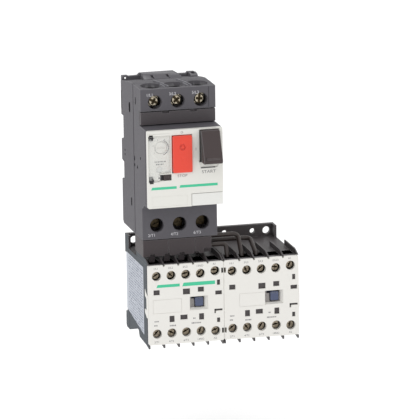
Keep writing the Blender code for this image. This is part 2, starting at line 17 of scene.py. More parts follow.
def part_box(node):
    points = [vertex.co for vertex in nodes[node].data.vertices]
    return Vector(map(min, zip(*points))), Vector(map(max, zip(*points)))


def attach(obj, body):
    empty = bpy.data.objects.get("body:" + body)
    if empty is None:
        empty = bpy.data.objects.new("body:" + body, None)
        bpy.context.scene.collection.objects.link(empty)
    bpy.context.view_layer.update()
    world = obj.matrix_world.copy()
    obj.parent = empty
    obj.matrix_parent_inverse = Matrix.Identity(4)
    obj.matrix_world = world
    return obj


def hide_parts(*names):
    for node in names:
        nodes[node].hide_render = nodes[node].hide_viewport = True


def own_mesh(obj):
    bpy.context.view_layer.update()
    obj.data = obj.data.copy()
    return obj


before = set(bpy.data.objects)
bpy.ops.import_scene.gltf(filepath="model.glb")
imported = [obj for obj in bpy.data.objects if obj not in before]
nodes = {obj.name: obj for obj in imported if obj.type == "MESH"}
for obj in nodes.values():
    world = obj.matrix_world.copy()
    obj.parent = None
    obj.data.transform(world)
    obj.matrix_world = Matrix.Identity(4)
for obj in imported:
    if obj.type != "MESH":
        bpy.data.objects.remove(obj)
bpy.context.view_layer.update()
scene = bpy.context.scene
mm = 0.001

# %% [markdown]
# ## Reading sizes
# Nothing is measured twice. `reach` turns a frame node into its six sides in millimetres, and
# the main planes of the object are named from those: X runs right, Y runs back into the
# panel, Z runs up. All shapes below are drawn in millimetres and shrunk once at the end.


# %% Name the main planes
def reach(node):
    """The six sides of a frame node, in millimetres."""
    low, high = (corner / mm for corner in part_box(node))
    return SimpleNamespace(
        left=low.x, right=high.x, front=low.y, back=high.y, bottom=low.z, top=high.z
    )


rear_shell = reach("breaker_rear_shell")
front_shell = reach("breaker_front_shell")
face = reach("breaker_face")
strip = reach("breaker_shoulder_strip")
seam_y = rear_shell.front
terminal_y = strip.front
middle_x = (front_shell.left + front_shell.right) / 2
breaker_pitch = 13.5
breaker_poles = [middle_x + step * breaker_pitch for step in (-1, 0, 1)]
pitch = reach("right_cover").left - reach("left_cover").left
pole_pitch = 8.7
print("breaker", front_shell.right - front_shell.left, "mm wide, contactor pitch", pitch)

# %% [markdown]
# ## Colour values
# Plastics are easiest to name the way a paint chart does, as a hex code. Blender shades in
# linear light, so each code is decoded once, here.


# %% Decode a paint code
def paint(code):
    """A hex colour code as linear red, green, blue and an alpha of 1."""
    channels = [int(code[at : at + 2], 16) / 255 for at in (0, 2, 4)]
    linear = [c / 12.92 if c < 0.04045 else ((c + 0.055) / 1.055) ** 2.4 for c in channels]
    return (*linear, 1.0)


print("slate in linear light:", [round(value, 3) for value in paint("565459")])

# %% [markdown]
# ## Small tools for shader nodes
# A material in code is a chain of nodes and wires. A few short helpers add one node each and
# hand back its output, so a recipe reads like a sum.


# %% Build the node helpers
COLOUR, NUMBER = "NodeSocketColor", "NodeSocketFloat"


def new_group(name, inputs, outputs):
    """An empty shader group with named sockets. Each input is (name, kind, value)."""
    group = bpy.data.node_groups.new(name, "ShaderNodeTree")
    for label, kind, value in inputs:
        socket = group.interface.new_socket(label, in_out="INPUT", socket_type=kind)
        socket.default_value = value
    for label, kind in outputs:
        group.interface.new_socket(label, in_out="OUTPUT", socket_type=kind)
    entry = group.nodes.new("NodeGroupInput")
    leave = group.nodes.new("NodeGroupOutput")
    return group, entry, leave


def node(tree, kind, **values):
    """A new node; values named like its sockets fill the sockets, the rest are settings."""
    made = tree.nodes.new(kind)
    for key, value in values.items():
        label = key.replace("_", " ").title()
        if label in made.inputs:
            made.inputs[label].default_value = value
        else:
            setattr(made, key, value)
    return made


def wire(tree, start, end):
    tree.links.new(start, end)


def arithmetic(tree, operation, first, second, clamp=False):
    """A maths node. Either operand may be a socket or a number."""
    made = tree.nodes.new("ShaderNodeMath")
    made.operation = operation
    made.use_clamp = clamp
    for place, value in enumerate((first, second)):
        if isinstance(value, (int, float)):
            made.inputs[place].default_value = value
        else:
            wire(tree, value, made.inputs[place])
    return made.outputs[0]


def stretched(tree, value, factor, offset):
    """A value multiplied by a factor and then shifted."""
    made = arithmetic(tree, "MULTIPLY_ADD", value, factor)
    made.node.inputs[2].default_value = offset
    return made


def blend_colours(tree, factor, first, second, mode="MIX"):
    """A colour mix. The operands may be sockets or colours."""
    made = tree.nodes.new("ShaderNodeMix")
    made.data_type = "RGBA"
    made.blend_type = mode
    for place, value in ((0, factor), (6, first), (7, second)):
        if hasattr(value, "links"):
            wire(tree, value, made.inputs[place])
        else:
            made.inputs[place].default_value = value
    return made.outputs[2]


def scaled_noise(tree, coordinates, scale, detail=2.0):
    made = node(tree, "ShaderNodeTexNoise", scale=scale, detail=detail)
    wire(tree, coordinates, made.inputs["Vector"])
    return made.outputs["Fac"]


print("node helpers ready for", COLOUR, "and", NUMBER)

# %% [markdown]
# ## A surface recipe for moulded plastic
# Injection-moulded parts are never one flat colour. The melt flows leave a faint cloudiness,
# the mould is spark-eroded so the skin has a fine grain, and handled edges polish up. A node
# group holds that recipe: it gives a colour, a roughness and a grain height, and each
# material feeds them into its own Principled shader. Edges are known from an attribute
# called `worn`, which the modelling helper paints where it rounds an edge.

# %% Build the moulded skin
moulded, entry, leave = new_group(
    "moulded_skin",
    [
        ("Colour", COLOUR, (0.5, 0.5, 0.5, 1)),
        ("Cloud", NUMBER, 0.06),
        ("Roughness", NUMBER, 0.5),
        ("Polish", NUMBER, 0.3),
    ],
    [("Colour", COLOUR), ("Roughness", NUMBER), ("Height", NUMBER)],
)
place = moulded.nodes.new("ShaderNodeTexCoord").outputs["Object"]
cloud = scaled_noise(moulded, place, 110.0, 4.0)
grain = scaled_noise(moulded, place, 3600.0, 1.0)
specks = scaled_noise(moulded, place, 900.0, 2.0)
shift = arithmetic(moulded, "MULTIPLY", cloud, entry.outputs["Cloud"])
half_cloud = arithmetic(moulded, "MULTIPLY", entry.outputs["Cloud"], 0.5)
centred = arithmetic(moulded, "SUBTRACT", shift, half_cloud)
level = arithmetic(moulded, "ADD", centred, 1.0)
grey = moulded.nodes.new("ShaderNodeCombineColor")
for channel in range(3):
    wire(moulded, level, grey.inputs[channel])
clouded = blend_colours(moulded, 1.0, entry.outputs["Colour"], grey.outputs[0], "MULTIPLY")
worn = node(moulded, "ShaderNodeAttribute", attribute_name="worn").outputs["Fac"]
broken = arithmetic(moulded, "MULTIPLY", worn, arithmetic(moulded, "ADD", specks, 0.35), True)
polished = arithmetic(moulded, "MULTIPLY", broken, entry.outputs["Polish"], True)
lighter = blend_colours(moulded, polished, clouded, (0.62, 0.62, 0.63, 1))
wire(moulded, lighter, leave.inputs["Colour"])
dulled = stretched(moulded, specks, 0.16, -0.08)
rough = arithmetic(moulded, "ADD", entry.outputs["Roughness"], dulled)
smoother = arithmetic(moulded, "SUBTRACT", rough, arithmetic(moulded, "MULTIPLY", polished, 0.4), True)
wire(moulded, smoother, leave.inputs["Roughness"])
wire(moulded, grain, leave.inputs["Height"])
print("group:", moulded.name)

# %% [markdown]
# ## A surface recipe for plated metal
# Zinc and nickel plating is bright where it is fresh and brown where it has tarnished. Turning
# leaves fine marks round each screw, so one noise is stretched into short streaks and another
# gives the stained patches.

# %% Build the plated skin
metal_skin, entry, leave = new_group(
    "plated_skin",
    [("Colour", COLOUR, (0.6, 0.6, 0.6, 1)), ("Roughness", NUMBER, 0.3), ("Tarnish", NUMBER, 0.3)],
    [("Colour", COLOUR), ("Roughness", NUMBER), ("Height", NUMBER)],
)
place = metal_skin.nodes.new("ShaderNodeTexCoord").outputs["Object"]
stain = scaled_noise(metal_skin, place, 420.0, 4.0)
turned = node(metal_skin, "ShaderNodeMapping", scale=(5200.0, 600.0, 5200.0))
wire(metal_skin, place, turned.inputs["Vector"])
marks = scaled_noise(metal_skin, turned.outputs[0], 1.0, 2.0)
patch = arithmetic(metal_skin, "MULTIPLY", stain, entry.outputs["Tarnish"], True)
dulled = blend_colours(metal_skin, patch, entry.outputs["Colour"], paint("7A6A4C"))
wire(metal_skin, dulled, leave.inputs["Colour"])
dull_patch = arithmetic(metal_skin, "MULTIPLY", patch, 0.5)
uneven = arithmetic(metal_skin, "ADD", stretched(metal_skin, marks, 0.2, -0.12), dull_patch)
rough = arithmetic(metal_skin, "ADD", entry.outputs["Roughness"], uneven, True)
wire(metal_skin, rough, leave.inputs["Roughness"])
wire(metal_skin, marks, leave.inputs["Height"])
print("group:", metal_skin.name)

# %% [markdown]
# ## The materials
# One call per plastic keeps the palette readable: slate grey shells, brown-black covers,
# warm white faces, a red and a brown-black button. The metal recipe covers the zinc-plated
# screws, and the same call with other numbers gives the laminated iron and spring wire.


# %% Mix the palette
def empty_material(name):
    made = bpy.data.materials.new(name)
    made.use_nodes = True
    return made, made.node_tree, made.node_tree.nodes["Principled BSDF"]


def recipe(name, group, bump, values, metallic=0.0, specular=0.5):
    """A material whose colour, roughness and grain come from one of the shared groups."""
    made, tree, shader = empty_material(name)
    used = tree.nodes.new("ShaderNodeGroup")
    used.node_tree = group
    for label, value in values.items():
        used.inputs[label].default_value = value
    raise_grain = node(tree, "ShaderNodeBump", strength=bump, distance=0.00012)
    wire(tree, used.outputs["Colour"], shader.inputs["Base Color"])
    wire(tree, used.outputs["Roughness"], shader.inputs["Roughness"])
    wire(tree, used.outputs["Height"], raise_grain.inputs["Height"])
    wire(tree, raise_grain.outputs[0], shader.inputs["Normal"])
    shader.inputs["Metallic"].default_value = metallic
    shader.inputs["Specular IOR Level"].default_value = specular
    return made


def plastic(name, code, roughness=0.5, cloud=0.1, polish=0.3, bump=0.35, specular=0.5):
    values = {"Colour": paint(code), "Cloud": cloud, "Roughness": roughness, "Polish": polish}
    return recipe(name, moulded, bump, values, specular=specular)


def plated(name, code, roughness=0.28, tarnish=0.35, bump=0.25):
    values = {"Colour": paint(code), "Roughness": roughness, "Tarnish": tarnish}
    return recipe(name, metal_skin, bump, values, metallic=1.0)


slate = plastic("slate_shell_plastic", "565459", 0.6, 0.14, 0.2, 0.5, 0.32)
brown_black = plastic("brown_black_plastic", "464144", 0.5, 0.16, 0.15, 0.4, 0.4)
link_brown = plastic("link_brown_plastic", "3D3638", 0.5, 0.16, 0.15, 0.4, 0.35)
# black plastic for dark inner parts, also used as painted shade in slots, pockets and notches
black_plastic_and_shade = plastic("black_plastic_and_painted_shade", "242326", 0.5, 0.2, 0.15, 0.4)
# painted side light: a blue-grey copy of the base moulding for the contactors' outer walls
blue_slate = plastic("blue_slate_plastic", "353D44", 0.55, 0.12, 0.2, 0.4, 0.3)
dark_slate = plastic("fin_dark_plastic", "423D3E", 0.5, 0.16, 0.2, 0.4)
warm_white = plastic("warm_white_plastic", "DFDDD8", 0.4, 0.03, 0.0, 0.16)
face_white = plastic("face_white_plastic", "DBDAD4", 0.38, 0.03, 0.0, 0.16)
marker_white = plastic("marker_white_plastic", "DCDCD8", 0.33, 0.02, 0.0, 0.08)
# painted light: a lighter copy of the slate shell, for the lit tops of the funnel webs
painted_light_slate = plastic("slate_with_painted_light", "77767C", 0.5, 0.1, 0.2, 0.3)
inner_grey = plastic("inner_grey_plastic", "95918F", 0.5, 0.1, 0.1, 0.3)
stop_red = plastic("stop_red_plastic", "DE3F2A", 0.36, 0.06, 0.12, 0.2)
start_brown = plastic("start_brown_plastic", "403636", 0.45, 0.14, 0.08, 0.4, 0.35)
carrier_blue = plastic("carrier_blue_plastic", "454E6A", 0.4, 0.1, 0.25, 0.3)
wire_skin = plastic("jumper_wire_skin", "322926", 0.36, 0.15, 0.1, 0.25)
green_ink = plastic("green_band_ink", "3DBE92", 0.42, 0.05, 0.0, 0.1)
grey_ink = plastic("grey_print_ink", "6E6C70", 0.5, 0.1, 0.0, 0.1)
dark_ink = plastic("dark_print_ink", "39373C", 0.5, 0.1, 0.0, 0.1)
pale_ink = plastic("pale_print_ink", "C9C8CC", 0.5, 0.1, 0.0, 0.1)
screw_plate = plated("screw_zinc_plate", "A2988A", 0.3, 0.5)
bright_plate = plated("bright_nickel_plate", "B9B09D", 0.18, 0.3)
# dark plate for the sunk lower breaker screws, also used as painted shade inside every screw recess
dark_plate = plated("dark_plate_and_painted_shade", "3A342C", 0.45, 0.5)
spring_wire = plated("spring_wire_steel", "8E8E90", 0.35, 0.2)
print(len(bpy.data.materials), "materials so far")

# %% [markdown]
# ## Three special finishes
# The magnets are stacks of thin iron sheets, so their material is striped along the stack.
# The coil shows its turns of winding tape. The rating label on a contactor's side is covered
# in rows of fine print; rows of broken dashes read the same from a distance without any
# lettering. The clear lid is a thin sheet, so it needs little more than see-through alpha.


# %% Striped, wound, printed and clear finishes
def striped(name, light, dark, axis, pitch_mm, roughness, metallic):
    """Fine parallel stripes along one axis, such as laminations or turns of tape."""
    made, tree, shader = empty_material(name)
    place = tree.nodes.new("ShaderNodeTexCoord").outputs["Object"]
    bands = node(tree, "ShaderNodeTexWave", distortion=0.4, detail=1.0)
    bands.bands_direction = axis
    bands.inputs["Scale"].default_value = math.pi / 10 / (pitch_mm * mm)
    wire(tree, place, bands.inputs["Vector"])
    stain = scaled_noise(tree, place, 300.0, 3.0)
    striping = blend_colours(tree, bands.outputs["Fac"], paint(dark), paint(light))
    toned = blend_colours(tree, arithmetic(tree, "MULTIPLY", stain, 0.4), striping, paint(dark))
    lift = node(tree, "ShaderNodeBump", strength=0.4, distance=0.0001)
    wire(tree, bands.outputs["Fac"], lift.inputs["Height"])
    wire(tree, toned, shader.inputs["Base Color"])
    wire(tree, lift.outputs[0], shader.inputs["Normal"])
    wire(tree, stretched(tree, stain, 0.3, roughness), shader.inputs["Roughness"])
    shader.inputs["Metallic"].default_value = metallic
    return made


laminated_iron = striped("laminated_iron", "8A8A8C", "4A4A4D", "Z", 0.5, 0.25, 1.0)
winding_tape = striped("winding_tape", "C98F4A", "8C5A26", "Y", 1.1, 0.3, 0.0)


def printed_label(name, row_gap, dash, middle, half_width):
    """Pale foil with rows of broken grey dashes across it, all sizes in millimetres."""
    made, tree, shader = empty_material(name)
    place = tree.nodes.new("ShaderNodeTexCoord").outputs["Object"]
    parts = tree.nodes.new("ShaderNodeSeparateXYZ")
    wire(tree, place, parts.inputs[0])
    across, up = parts.outputs["Y"], parts.outputs["Z"]
    row = arithmetic(tree, "MULTIPLY", up, 1 / (row_gap * mm))
    inside = arithmetic(tree, "LESS_THAN", arithmetic(tree, "FRACT", row, 0.0), 0.52)
    words = tree.nodes.new("ShaderNodeCombineXYZ")
    wire(tree, arithmetic(tree, "MULTIPLY", across, 1 / (dash * mm)), words.inputs[0])
    wire(tree, arithmetic(tree, "MULTIPLY", arithmetic(tree, "FLOOR", row, 0.0), 7.3), words.inputs[1])
    dashes = scaled_noise(tree, words.outputs[0], 1.0, 3.0)
    inked = arithmetic(tree, "GREATER_THAN", dashes, 0.49)
    off_middle = arithmetic(tree, "ABSOLUTE", arithmetic(tree, "SUBTRACT", across, middle * mm), 0.0)
    margin = arithmetic(tree, "LESS_THAN", off_middle, half_width * mm)
    mask = arithmetic(tree, "MULTIPLY", arithmetic(tree, "MULTIPLY", inside, inked), margin)
    stain = scaled_noise(tree, place, 160.0, 3.0)
    foil = blend_colours(tree, stain, paint("B6BBC5"), paint("A3A9B4"))
    wire(tree, blend_colours(tree, mask, foil, paint("5E6679")), shader.inputs["Base Color"])
    wire(tree, stretched(tree, mask, 0.15, 0.38), shader.inputs["Roughness"])
    return made


rating_foil = printed_label("rating_foil", row_gap=1.55, dash=0.8, middle=-22.2, half_width=17.5)

clear_sheet, tree, shader = empty_material("clear_lid_plastic")
smear = scaled_noise(tree, tree.nodes.new("ShaderNodeTexCoord").outputs["Object"], 260.0, 3.0)
wire(tree, stretched(tree, smear, 0.12, 0.02), shader.inputs["Roughness"])
wire(tree, blend_colours(tree, smear, paint("F4F5F2"), paint("E6E8E6")), shader.inputs["Base Color"])
shader.inputs["Alpha"].default_value = 0.16
print("special finishes:", rating_foil.name, clear_sheet.name)

# %% [markdown]
# ## Shaping tools
# Housings like these are machined in the mind: start from a block or a flat outline, take
# pockets out, then round what a hand would feel. The helpers below do exactly that with
# bmesh operators. `carve` is the milling cutter, `soften` rounds every sharp edge and marks
# it as worn, and `piece` turns the result into a finished object tied to its body.


# %% Blocks, rods and slabs
ALONG = {"x": Vector((1, 0, 0)), "y": Vector((0, 1, 0)), "z": Vector((0, 0, 1))}
LAY = {
    "x": Matrix.Rotation(math.pi / 2, 4, "Y"),
    "y": Matrix.Rotation(math.pi / 2, 4, "X"),
    "z": Matrix.Identity(4),
}


def block(bm, x, y, z):
    """A box between three pairs of limits."""
    middle = [(pair[0] + pair[1]) / 2 for pair in (x, y, z)]
    size = [abs(pair[1] - pair[0]) for pair in (x, y, z)]
    where = Matrix.Translation(middle) @ Matrix.Diagonal((*size, 1.0))
    return bmesh.ops.create_cube(bm, size=1.0, matrix=where)["verts"]


def rod(bm, axis, centre, radius, length, sides=40, far_radius=None):
    """A cylinder or cone. On the Y axis the far end is the one that faces the reader."""
    where = Matrix.Translation(centre) @ LAY[axis]
    far = radius if far_radius is None else far_radius
    return bmesh.ops.create_cone(
        bm, cap_ends=True, segments=sides, radius1=radius, radius2=far, depth=length, matrix=where
    )["verts"]


def slab(bm, outline, axis, low, high):
    """A flat outline pushed along one axis. Its points give the other two axes, in order."""
    corners = []
    for first, second in outline:
        spot = {"x": (low, first, second), "y": (first, low, second), "z": (first, second, low)}
        corners.append(bm.verts.new(spot[axis]))
    sheet = bm.faces.new(corners)
    pushed = bmesh.ops.extrude_face_region(bm, geom=[sheet])["geom"]
    moved = [part for part in pushed if isinstance(part, bmesh.types.BMVert)]
    bmesh.ops.translate(bm, verts=moved, vec=ALONG[axis] * (high - low))
    skin = {face_of_slab for corner in corners + moved for face_of_slab in corner.link_faces}
    bmesh.ops.recalc_face_normals(bm, faces=list(skin))
    return corners + moved


def arc(cx, cy, radius, start, end, steps=8):
    """Points on an arc, between two angles in degrees."""
    turns = [math.radians(start + (end - start) * step / steps) for step in range(steps + 1)]
    return [(cx + radius * math.cos(turn), cy + radius * math.sin(turn)) for turn in turns]


def rounded(x, z, radius, steps=5):
    """A rectangle with round corners."""
    corners = ((x[1], z[1], 0), (x[0], z[1], 90), (x[0], z[0], 180), (x[1], z[0], 270))
    points = []
    for corner_x, corner_z, start in corners:
        cx = corner_x - math.copysign(radius, corner_x - (x[0] + x[1]) / 2)
        cz = corner_z - math.copysign(radius, corner_z - (z[0] + z[1]) / 2)
        points += arc(cx, cz, radius, start, start + 90, steps)
    return points


print("points in a rounded outline:", len(rounded((0.0, 4.0), (0.0, 2.0), 0.5)))

# %% [markdown]
# Cutting one solid with another is safest with the Boolean modifier's exact solver. It works on
# objects, so both shapes become objects for a moment and the result is read back as a bmesh.


# %% Build the milling cutter
def carve(body, cutter, operation="DIFFERENCE", crossing=False):
    """Cuts or joins two bmeshes; `crossing` is for cutters that run through one another."""
    made = []
    for bm in (body, cutter):
        mesh = bpy.data.meshes.new("carving")
        bm.to_mesh(mesh)
        bm.free()
        made.append(bpy.data.objects.new("carving", mesh))
        scene.collection.objects.link(made[-1])
    change = made[0].modifiers.new("carve", "BOOLEAN")
    change.operation = operation
    change.object = made[1]
    change.solver = "EXACT"
    change.use_self = crossing
    bpy.context.view_layer.update()
    result = bmesh.new()
    result.from_object(made[0], bpy.context.evaluated_depsgraph_get())
    for spent in made:
        mesh = spent.data
        bpy.data.objects.remove(spent)
        bpy.data.meshes.remove(mesh)
    return result


drilled = bmesh.new()
block(drilled, (-1, 1), (-1, 1), (-1, 1))
drill = bmesh.new()
rod(drill, "z", (0, 0, 0), 0.5, 3.0, 12)
drilled = carve(drilled, drill)
print("a drilled block has", len(drilled.faces), "faces and", round(drilled.calc_volume(), 2), "cubic mm")
drilled.free()

# %% [markdown]
# A moulded edge is never sharp. The bevel operator rounds every edge that is sharper than a
# given angle. On a face with many holes it can fold the face over itself, so `mend` finds such
# folds and fills that flat region again.


# %% Round the edges
def mend(bm):
    """Fills flat regions again where rounding has folded a many-sided face over itself."""
    bm.normal_update()
    folded = []
    for corners in bm.calc_loop_triangles():
        a, b, c = (corner.vert.co for corner in corners)
        turn = (b - a).cross(c - a)
        if turn.length > 0.02 and turn.dot(corners[0].face.normal) < 0:
            folded.append(corners[0].face)
    for seed in folded:
        if not seed.is_valid:
            continue
        facing = seed.normal.copy()
        patch, queue = {seed}, [seed]
        while queue:
            for edge in queue.pop().edges:
                for beside in edge.link_faces:
                    if beside not in patch and abs(beside.normal.dot(facing)) > 0.9999:
                        patch.add(beside)
                        queue.append(beside)
        edges = {edge for flat in patch for edge in flat.edges}
        rim = [edge for edge in edges if sum(beside in patch for beside in edge.link_faces) == 1]
        inner = list(edges - set(rim))
        bmesh.ops.delete(bm, geom=list(patch), context="FACES_ONLY")
        bmesh.ops.delete(bm, geom=inner, context="EDGES")
        rim = [edge for edge in rim if edge.is_valid]
        bmesh.ops.triangle_fill(bm, use_beauty=True, use_dissolve=False, edges=rim, normal=facing)


def soften(bm, width, segments=2, sharper_than=34, keep=None):
    """Rounds sharp edges by `width` and writes 1 into the `worn` attribute there."""
    bmesh.ops.remove_doubles(bm, verts=bm.verts, dist=0.004)
    bmesh.ops.dissolve_limit(
        bm, angle_limit=math.radians(0.6), verts=bm.verts, edges=bm.edges, delimit={"NORMAL"}
    )
    worn = bm.verts.layers.float.get("worn") or bm.verts.layers.float.new("worn")
    limit = math.radians(sharper_than)
    sharp = []
    for edge in bm.edges:
        if len(edge.link_faces) == 2 and edge.calc_face_angle() > limit:
            if keep is None or keep(edge):
                sharp.append(edge)
    made = bmesh.ops.bevel(
        bm,
        geom=sharp,
        offset=width,
        offset_type="OFFSET",
        segments=segments,
        profile=0.5,
        affect="EDGES",
        material=-1,
        clamp_overlap=False,
        loop_slide=False,
    )
    rounding = set(made["faces"])
    for vert in made["verts"]:
        if all(touching in rounding for touching in vert.link_faces):
            vert[worn] = 1.0
    mend(bm)
    return bm


trial = bmesh.new()
block(trial, (-1, 1), (-1, 1), (-1, 1))
print("a softened block has", len(soften(trial, 0.2).faces), "faces")
trial.free()

# %% [markdown]
# Every piece is finished in the same way: it is shrunk from millimetres, shaded smooth up to a
# set angle, given its material, and tied to the body that carries it.


# %% Finish a piece
def piece(name, bm, finish, body, stands_for=(), smooth=38, recalc=True):
    """Shrinks a millimetre shape to size and ties it to the body it moves with."""
    if recalc:
        bmesh.ops.recalc_face_normals(bm, faces=bm.faces)
    bmesh.ops.scale(bm, vec=(mm, mm, mm), verts=bm.verts)
    mesh = bpy.data.meshes.new(name)
    bm.to_mesh(mesh)
    bm.free()
    if "custom_normal" in mesh.attributes:
        mesh.attributes.remove(mesh.attributes["custom_normal"])
    mesh.materials.append(finish)
    mesh.shade_smooth()
    mesh.set_sharp_from_angle(angle=math.radians(smooth))
    made = bpy.data.objects.new(name, mesh)
    scene.collection.objects.link(made)
    even = made.modifiers.new("even_normals", "WEIGHTED_NORMAL")
    even.keep_sharp = True
    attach(made, body)
    if stands_for:
        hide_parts(*stands_for)
    print(name, len(mesh.polygons), "faces")
    return made


BASE = "starter"
print("pieces that don't move ride on", BASE)

# %% [markdown]
# ## Breaker: rear shell
# The rear shell clips onto a 35 mm rail, so its back is a stepped channel with a rib in the
# middle. Seen from the side it is one flat outline, which makes it a slab. Vent slots, the
# rivet holes along the side and the ridge over the wire funnels are carved or added after.

# %% Model the rear shell
seat_back = rear_shell.back
left, right = rear_shell.left, rear_shell.right
top, bottom = front_shell.top, rear_shell.bottom
rail_low, rail_high = 62.2, 100.1
channel = seat_back - 5.0
rib_low, rib_high = 73.0, 86.4
shell_wall = 2.5
latch_reach = 9.3
outline = [
    (seat_back, top - 3.8),
    (seat_back, rail_high),
    (channel, rail_high),
    (channel, rib_high + 0.6),
    (seat_back, rib_high - 0.4),
    (seat_back, rib_low + 0.4),
    (channel, rib_low - 0.4),
    (channel, rail_low),
    (seat_back, rail_low),
    (seat_back, 37.2),
    (seat_back - 1.8, bottom),
    (seam_y, bottom),
    (seam_y, top - 0.2),
    (-22.5, top - 0.1),
    (-16.5, top - 0.8),
    (-8.5, top - 2.1),
    (-1.5, top - 3.1),
]
shell = bmesh.new()
slab(shell, outline, "x", left, right)
hollow = bmesh.new()
inside_x = (left + shell_wall, right - shell_wall)
block(hollow, inside_x, (seam_y - 5, channel - shell_wall), (58.5, 101.0))
latch_x = (middle_x - latch_reach, middle_x + latch_reach)
block(hollow, latch_x, (seat_back - 4.1, seat_back + 3), (38.4, rail_low + 0.8))
shell = soften(carve(shell, hollow), 0.35)
vents = bmesh.new()
slab(vents, rounded((-20.4, -16.6), (105.5, 111.5), 1.6), "x", left - 1, left + 4.5)
slab(vents, rounded((-21.0, -18.6), (50.5, 55.5), 1.1), "x", left - 1, left + 4.5)
block(vents, (left - 1, left + 3.0), (seat_back - 2.3, seat_back - 0.5), (103.5, 114.6))
for height in (77.9, 80.5):
    rod(vents, "x", (left, -5.3, height), 0.75, 3.0, 16)
for seam_x in ((left - 1, left + 0.9), (right - 0.9, right + 1)):
    block(vents, seam_x, (seam_y - 1, seam_y + 0.6), (bottom + 0.8, top + 1))
for step in range(5):
    low = 67.5 + step * 5.2
    block(vents, (right - 1.2, right + 1), (-20.0, -8.0), (low, low + 1.6))
shell = carve(shell, vents)
print("rear shell after its vents:", len(shell.faces), "faces")

# %% [markdown]
# The shell's sloping top carries three small things at once: a rim along the wall with an ear at
# each end, a hook at the right, and a raised crest behind the funnels. Each is an outline pushed
# along one axis, and a union welds all three to the shell.

# %% Raise the rim and the crest behind the funnels
rim = bmesh.new()
root = 116.0
rim_outline = [
    (left + 0.1, root),
    (right - 0.5, root),
    (right - 0.5, 122.6),
    (right - 1.0, 123.2),
    (right - 5.4, 123.3),
    (right - 5.8, 122.4),
    (right - 10.6, 122.5),
    (right - 13.6, 124.3),
    (left + 10.8, 124.2),
    (left + 9.6, 123.0),
    (left + 4.2, 122.8),
    (left + 3.6, 123.4),
    (left + 0.1, 123.4),
]
slab(rim, rim_outline, "y", seat_back - 2.4, seat_back - 0.1)
hook = [(-0.6, root), (-0.6, 123.4), (-2.6, 123.7), (-6.4, 123.2), (-7.4, 122.3), (-7.2, root)]
slab(rim, hook, "x", right - 5.2, right - 0.8)
crest = [(0.0, root), (0.0, 124.3), (-3.0, 125.0), (-6.5, 124.9), (-11.5, 124.0), (-14.8, 123.3)]
crest += [(-15.2, root)]
for vert in slab(rim, crest, "x", left + 10.0, right - 12.4):
    if vert.co.z > 124:
        vert.co.x += 1.2 if vert.co.x < middle_x else -2.2
shell = carve(shell, soften(rim, 0.25), "UNION", True)
notches = bmesh.new()
for gap in (middle_x - breaker_pitch / 2, middle_x + 2.4):
    block(notches, (gap - 0.7, gap + 0.7), (-16.0, -8.5), (top - 0.9, 130.0))
block(notches, (left + 1.7, left + 3.1), (-4.0, seat_back + 1), (120.9, 122.3))
block(notches, (right - 4.2, right - 2.0), (-5.8, -1.2), (top - 1.8, 130.0))
shell = carve(shell, notches)
made = piece("rear_shell", shell, slate, BASE, ["breaker_rear_shell"])

# %% [markdown]
# Slots in the side walls look black, because no light comes back out of them. The faces inside
# get their own dark material, picked by where they lie.


# %% Blacken the slots
def blacken(made, inside):
    """Gives the faces deep inside pockets the black finish that shadow gives them."""
    made.data.materials.append(black_plastic_and_shade)
    count = 0
    for polygon in made.data.polygons:
        if inside(polygon.center / mm, polygon.normal):
            polygon.material_index = 1
            count += 1
    print(made.name, "blackened faces:", count)


blacken(made, lambda spot, facing: left + 0.4 < spot.x < left + 4.8 and 45 < spot.z < 120)

# %% [markdown]
# ## Breaker: front shell
# This shell carries both rows of terminals and pushes the white face forward. Wires drop in
# from above through three oval funnels, so each funnel is a cone with an oval mouth, cut
# through the top. Screw mouths get a cone as well, because real ones guide the blade.

# %% Model the front shell
raised_y = front_shell.front
upper_screw = reach("breaker_line_terminal_1")
lower_screw = reach("breaker_load_terminal_1")
upper_z = (upper_screw.top + upper_screw.bottom) / 2
lower_z = (lower_screw.top + lower_screw.bottom) / 2
back = front_shell.back
outline = [
    (back, bottom),
    (terminal_y, bottom),
    (terminal_y, 54.5),
    *arc(terminal_y - 6.2, 55.2, 2.2, 0, 90, 4)[1:-1],
    (raised_y, 57.6),
    (raised_y, 102.4),
    (terminal_y + 3.1, 102.4),
    (terminal_y + 3.1, strip.top + 0.3),
    (terminal_y, strip.top + 0.3),
    (terminal_y, top - 0.1),
    (back, top - 0.1),
]
shell = bmesh.new()
slab(shell, outline, "x", left, right)
hollow = bmesh.new()
block(hollow, inside_x, (raised_y + 2.8, back + 5), (60.5, 99.0))
for pole in breaker_poles:
    mouth = rounded((pole - 5.2, pole + 5.2), (-42.0, -30.2), 2.5)
    slab(hollow, mouth, "z", 111.3, 119.5)
    slab(hollow, mouth, "z", 30.0, 48.4)
shell = carve(soften(shell, 0.3), hollow)
stop, start = reach("stop_button"), reach("start_button")
dial = reach("setting_dial")
dial_x, dial_z = (dial.left + dial.right) / 2, (dial.top + dial.bottom) / 2
ports = bmesh.new()
for button in (stop, start):
    wide = (button.left - 0.3, button.right + 0.3)
    block(ports, wide, (raised_y - 5, raised_y + 11), (button.bottom - 0.3, button.top + 0.3))
rod(ports, "y", (dial_x, raised_y, dial_z), 1.6, 12.0, 24)
shell = carve(shell, ports)
marks = bmesh.new()
slab(marks, rounded((-34.5, -32.7), (113.1, 117.4), 0.7), "x", left - 1, left + 1.1)
side_holes = ((-28.9, 80.7, 1.5), (-29.5, 76.8, 1.0), (-36.1, 76.8, 1.0), (-44.0, 83.6, 0.9))
for depth, height, radius in side_holes:
    rod(marks, "x", (left, depth, height), radius, 3.4, 24)
block(marks, (left - 1, left + 0.9), (-43.9, -42.6), (104.0, 108.4))
for x in (left, right):
    block(marks, (x - 0.5, x + 0.5), (raised_y + 1.6, raised_y + 2.3), (58.6, 101.4))
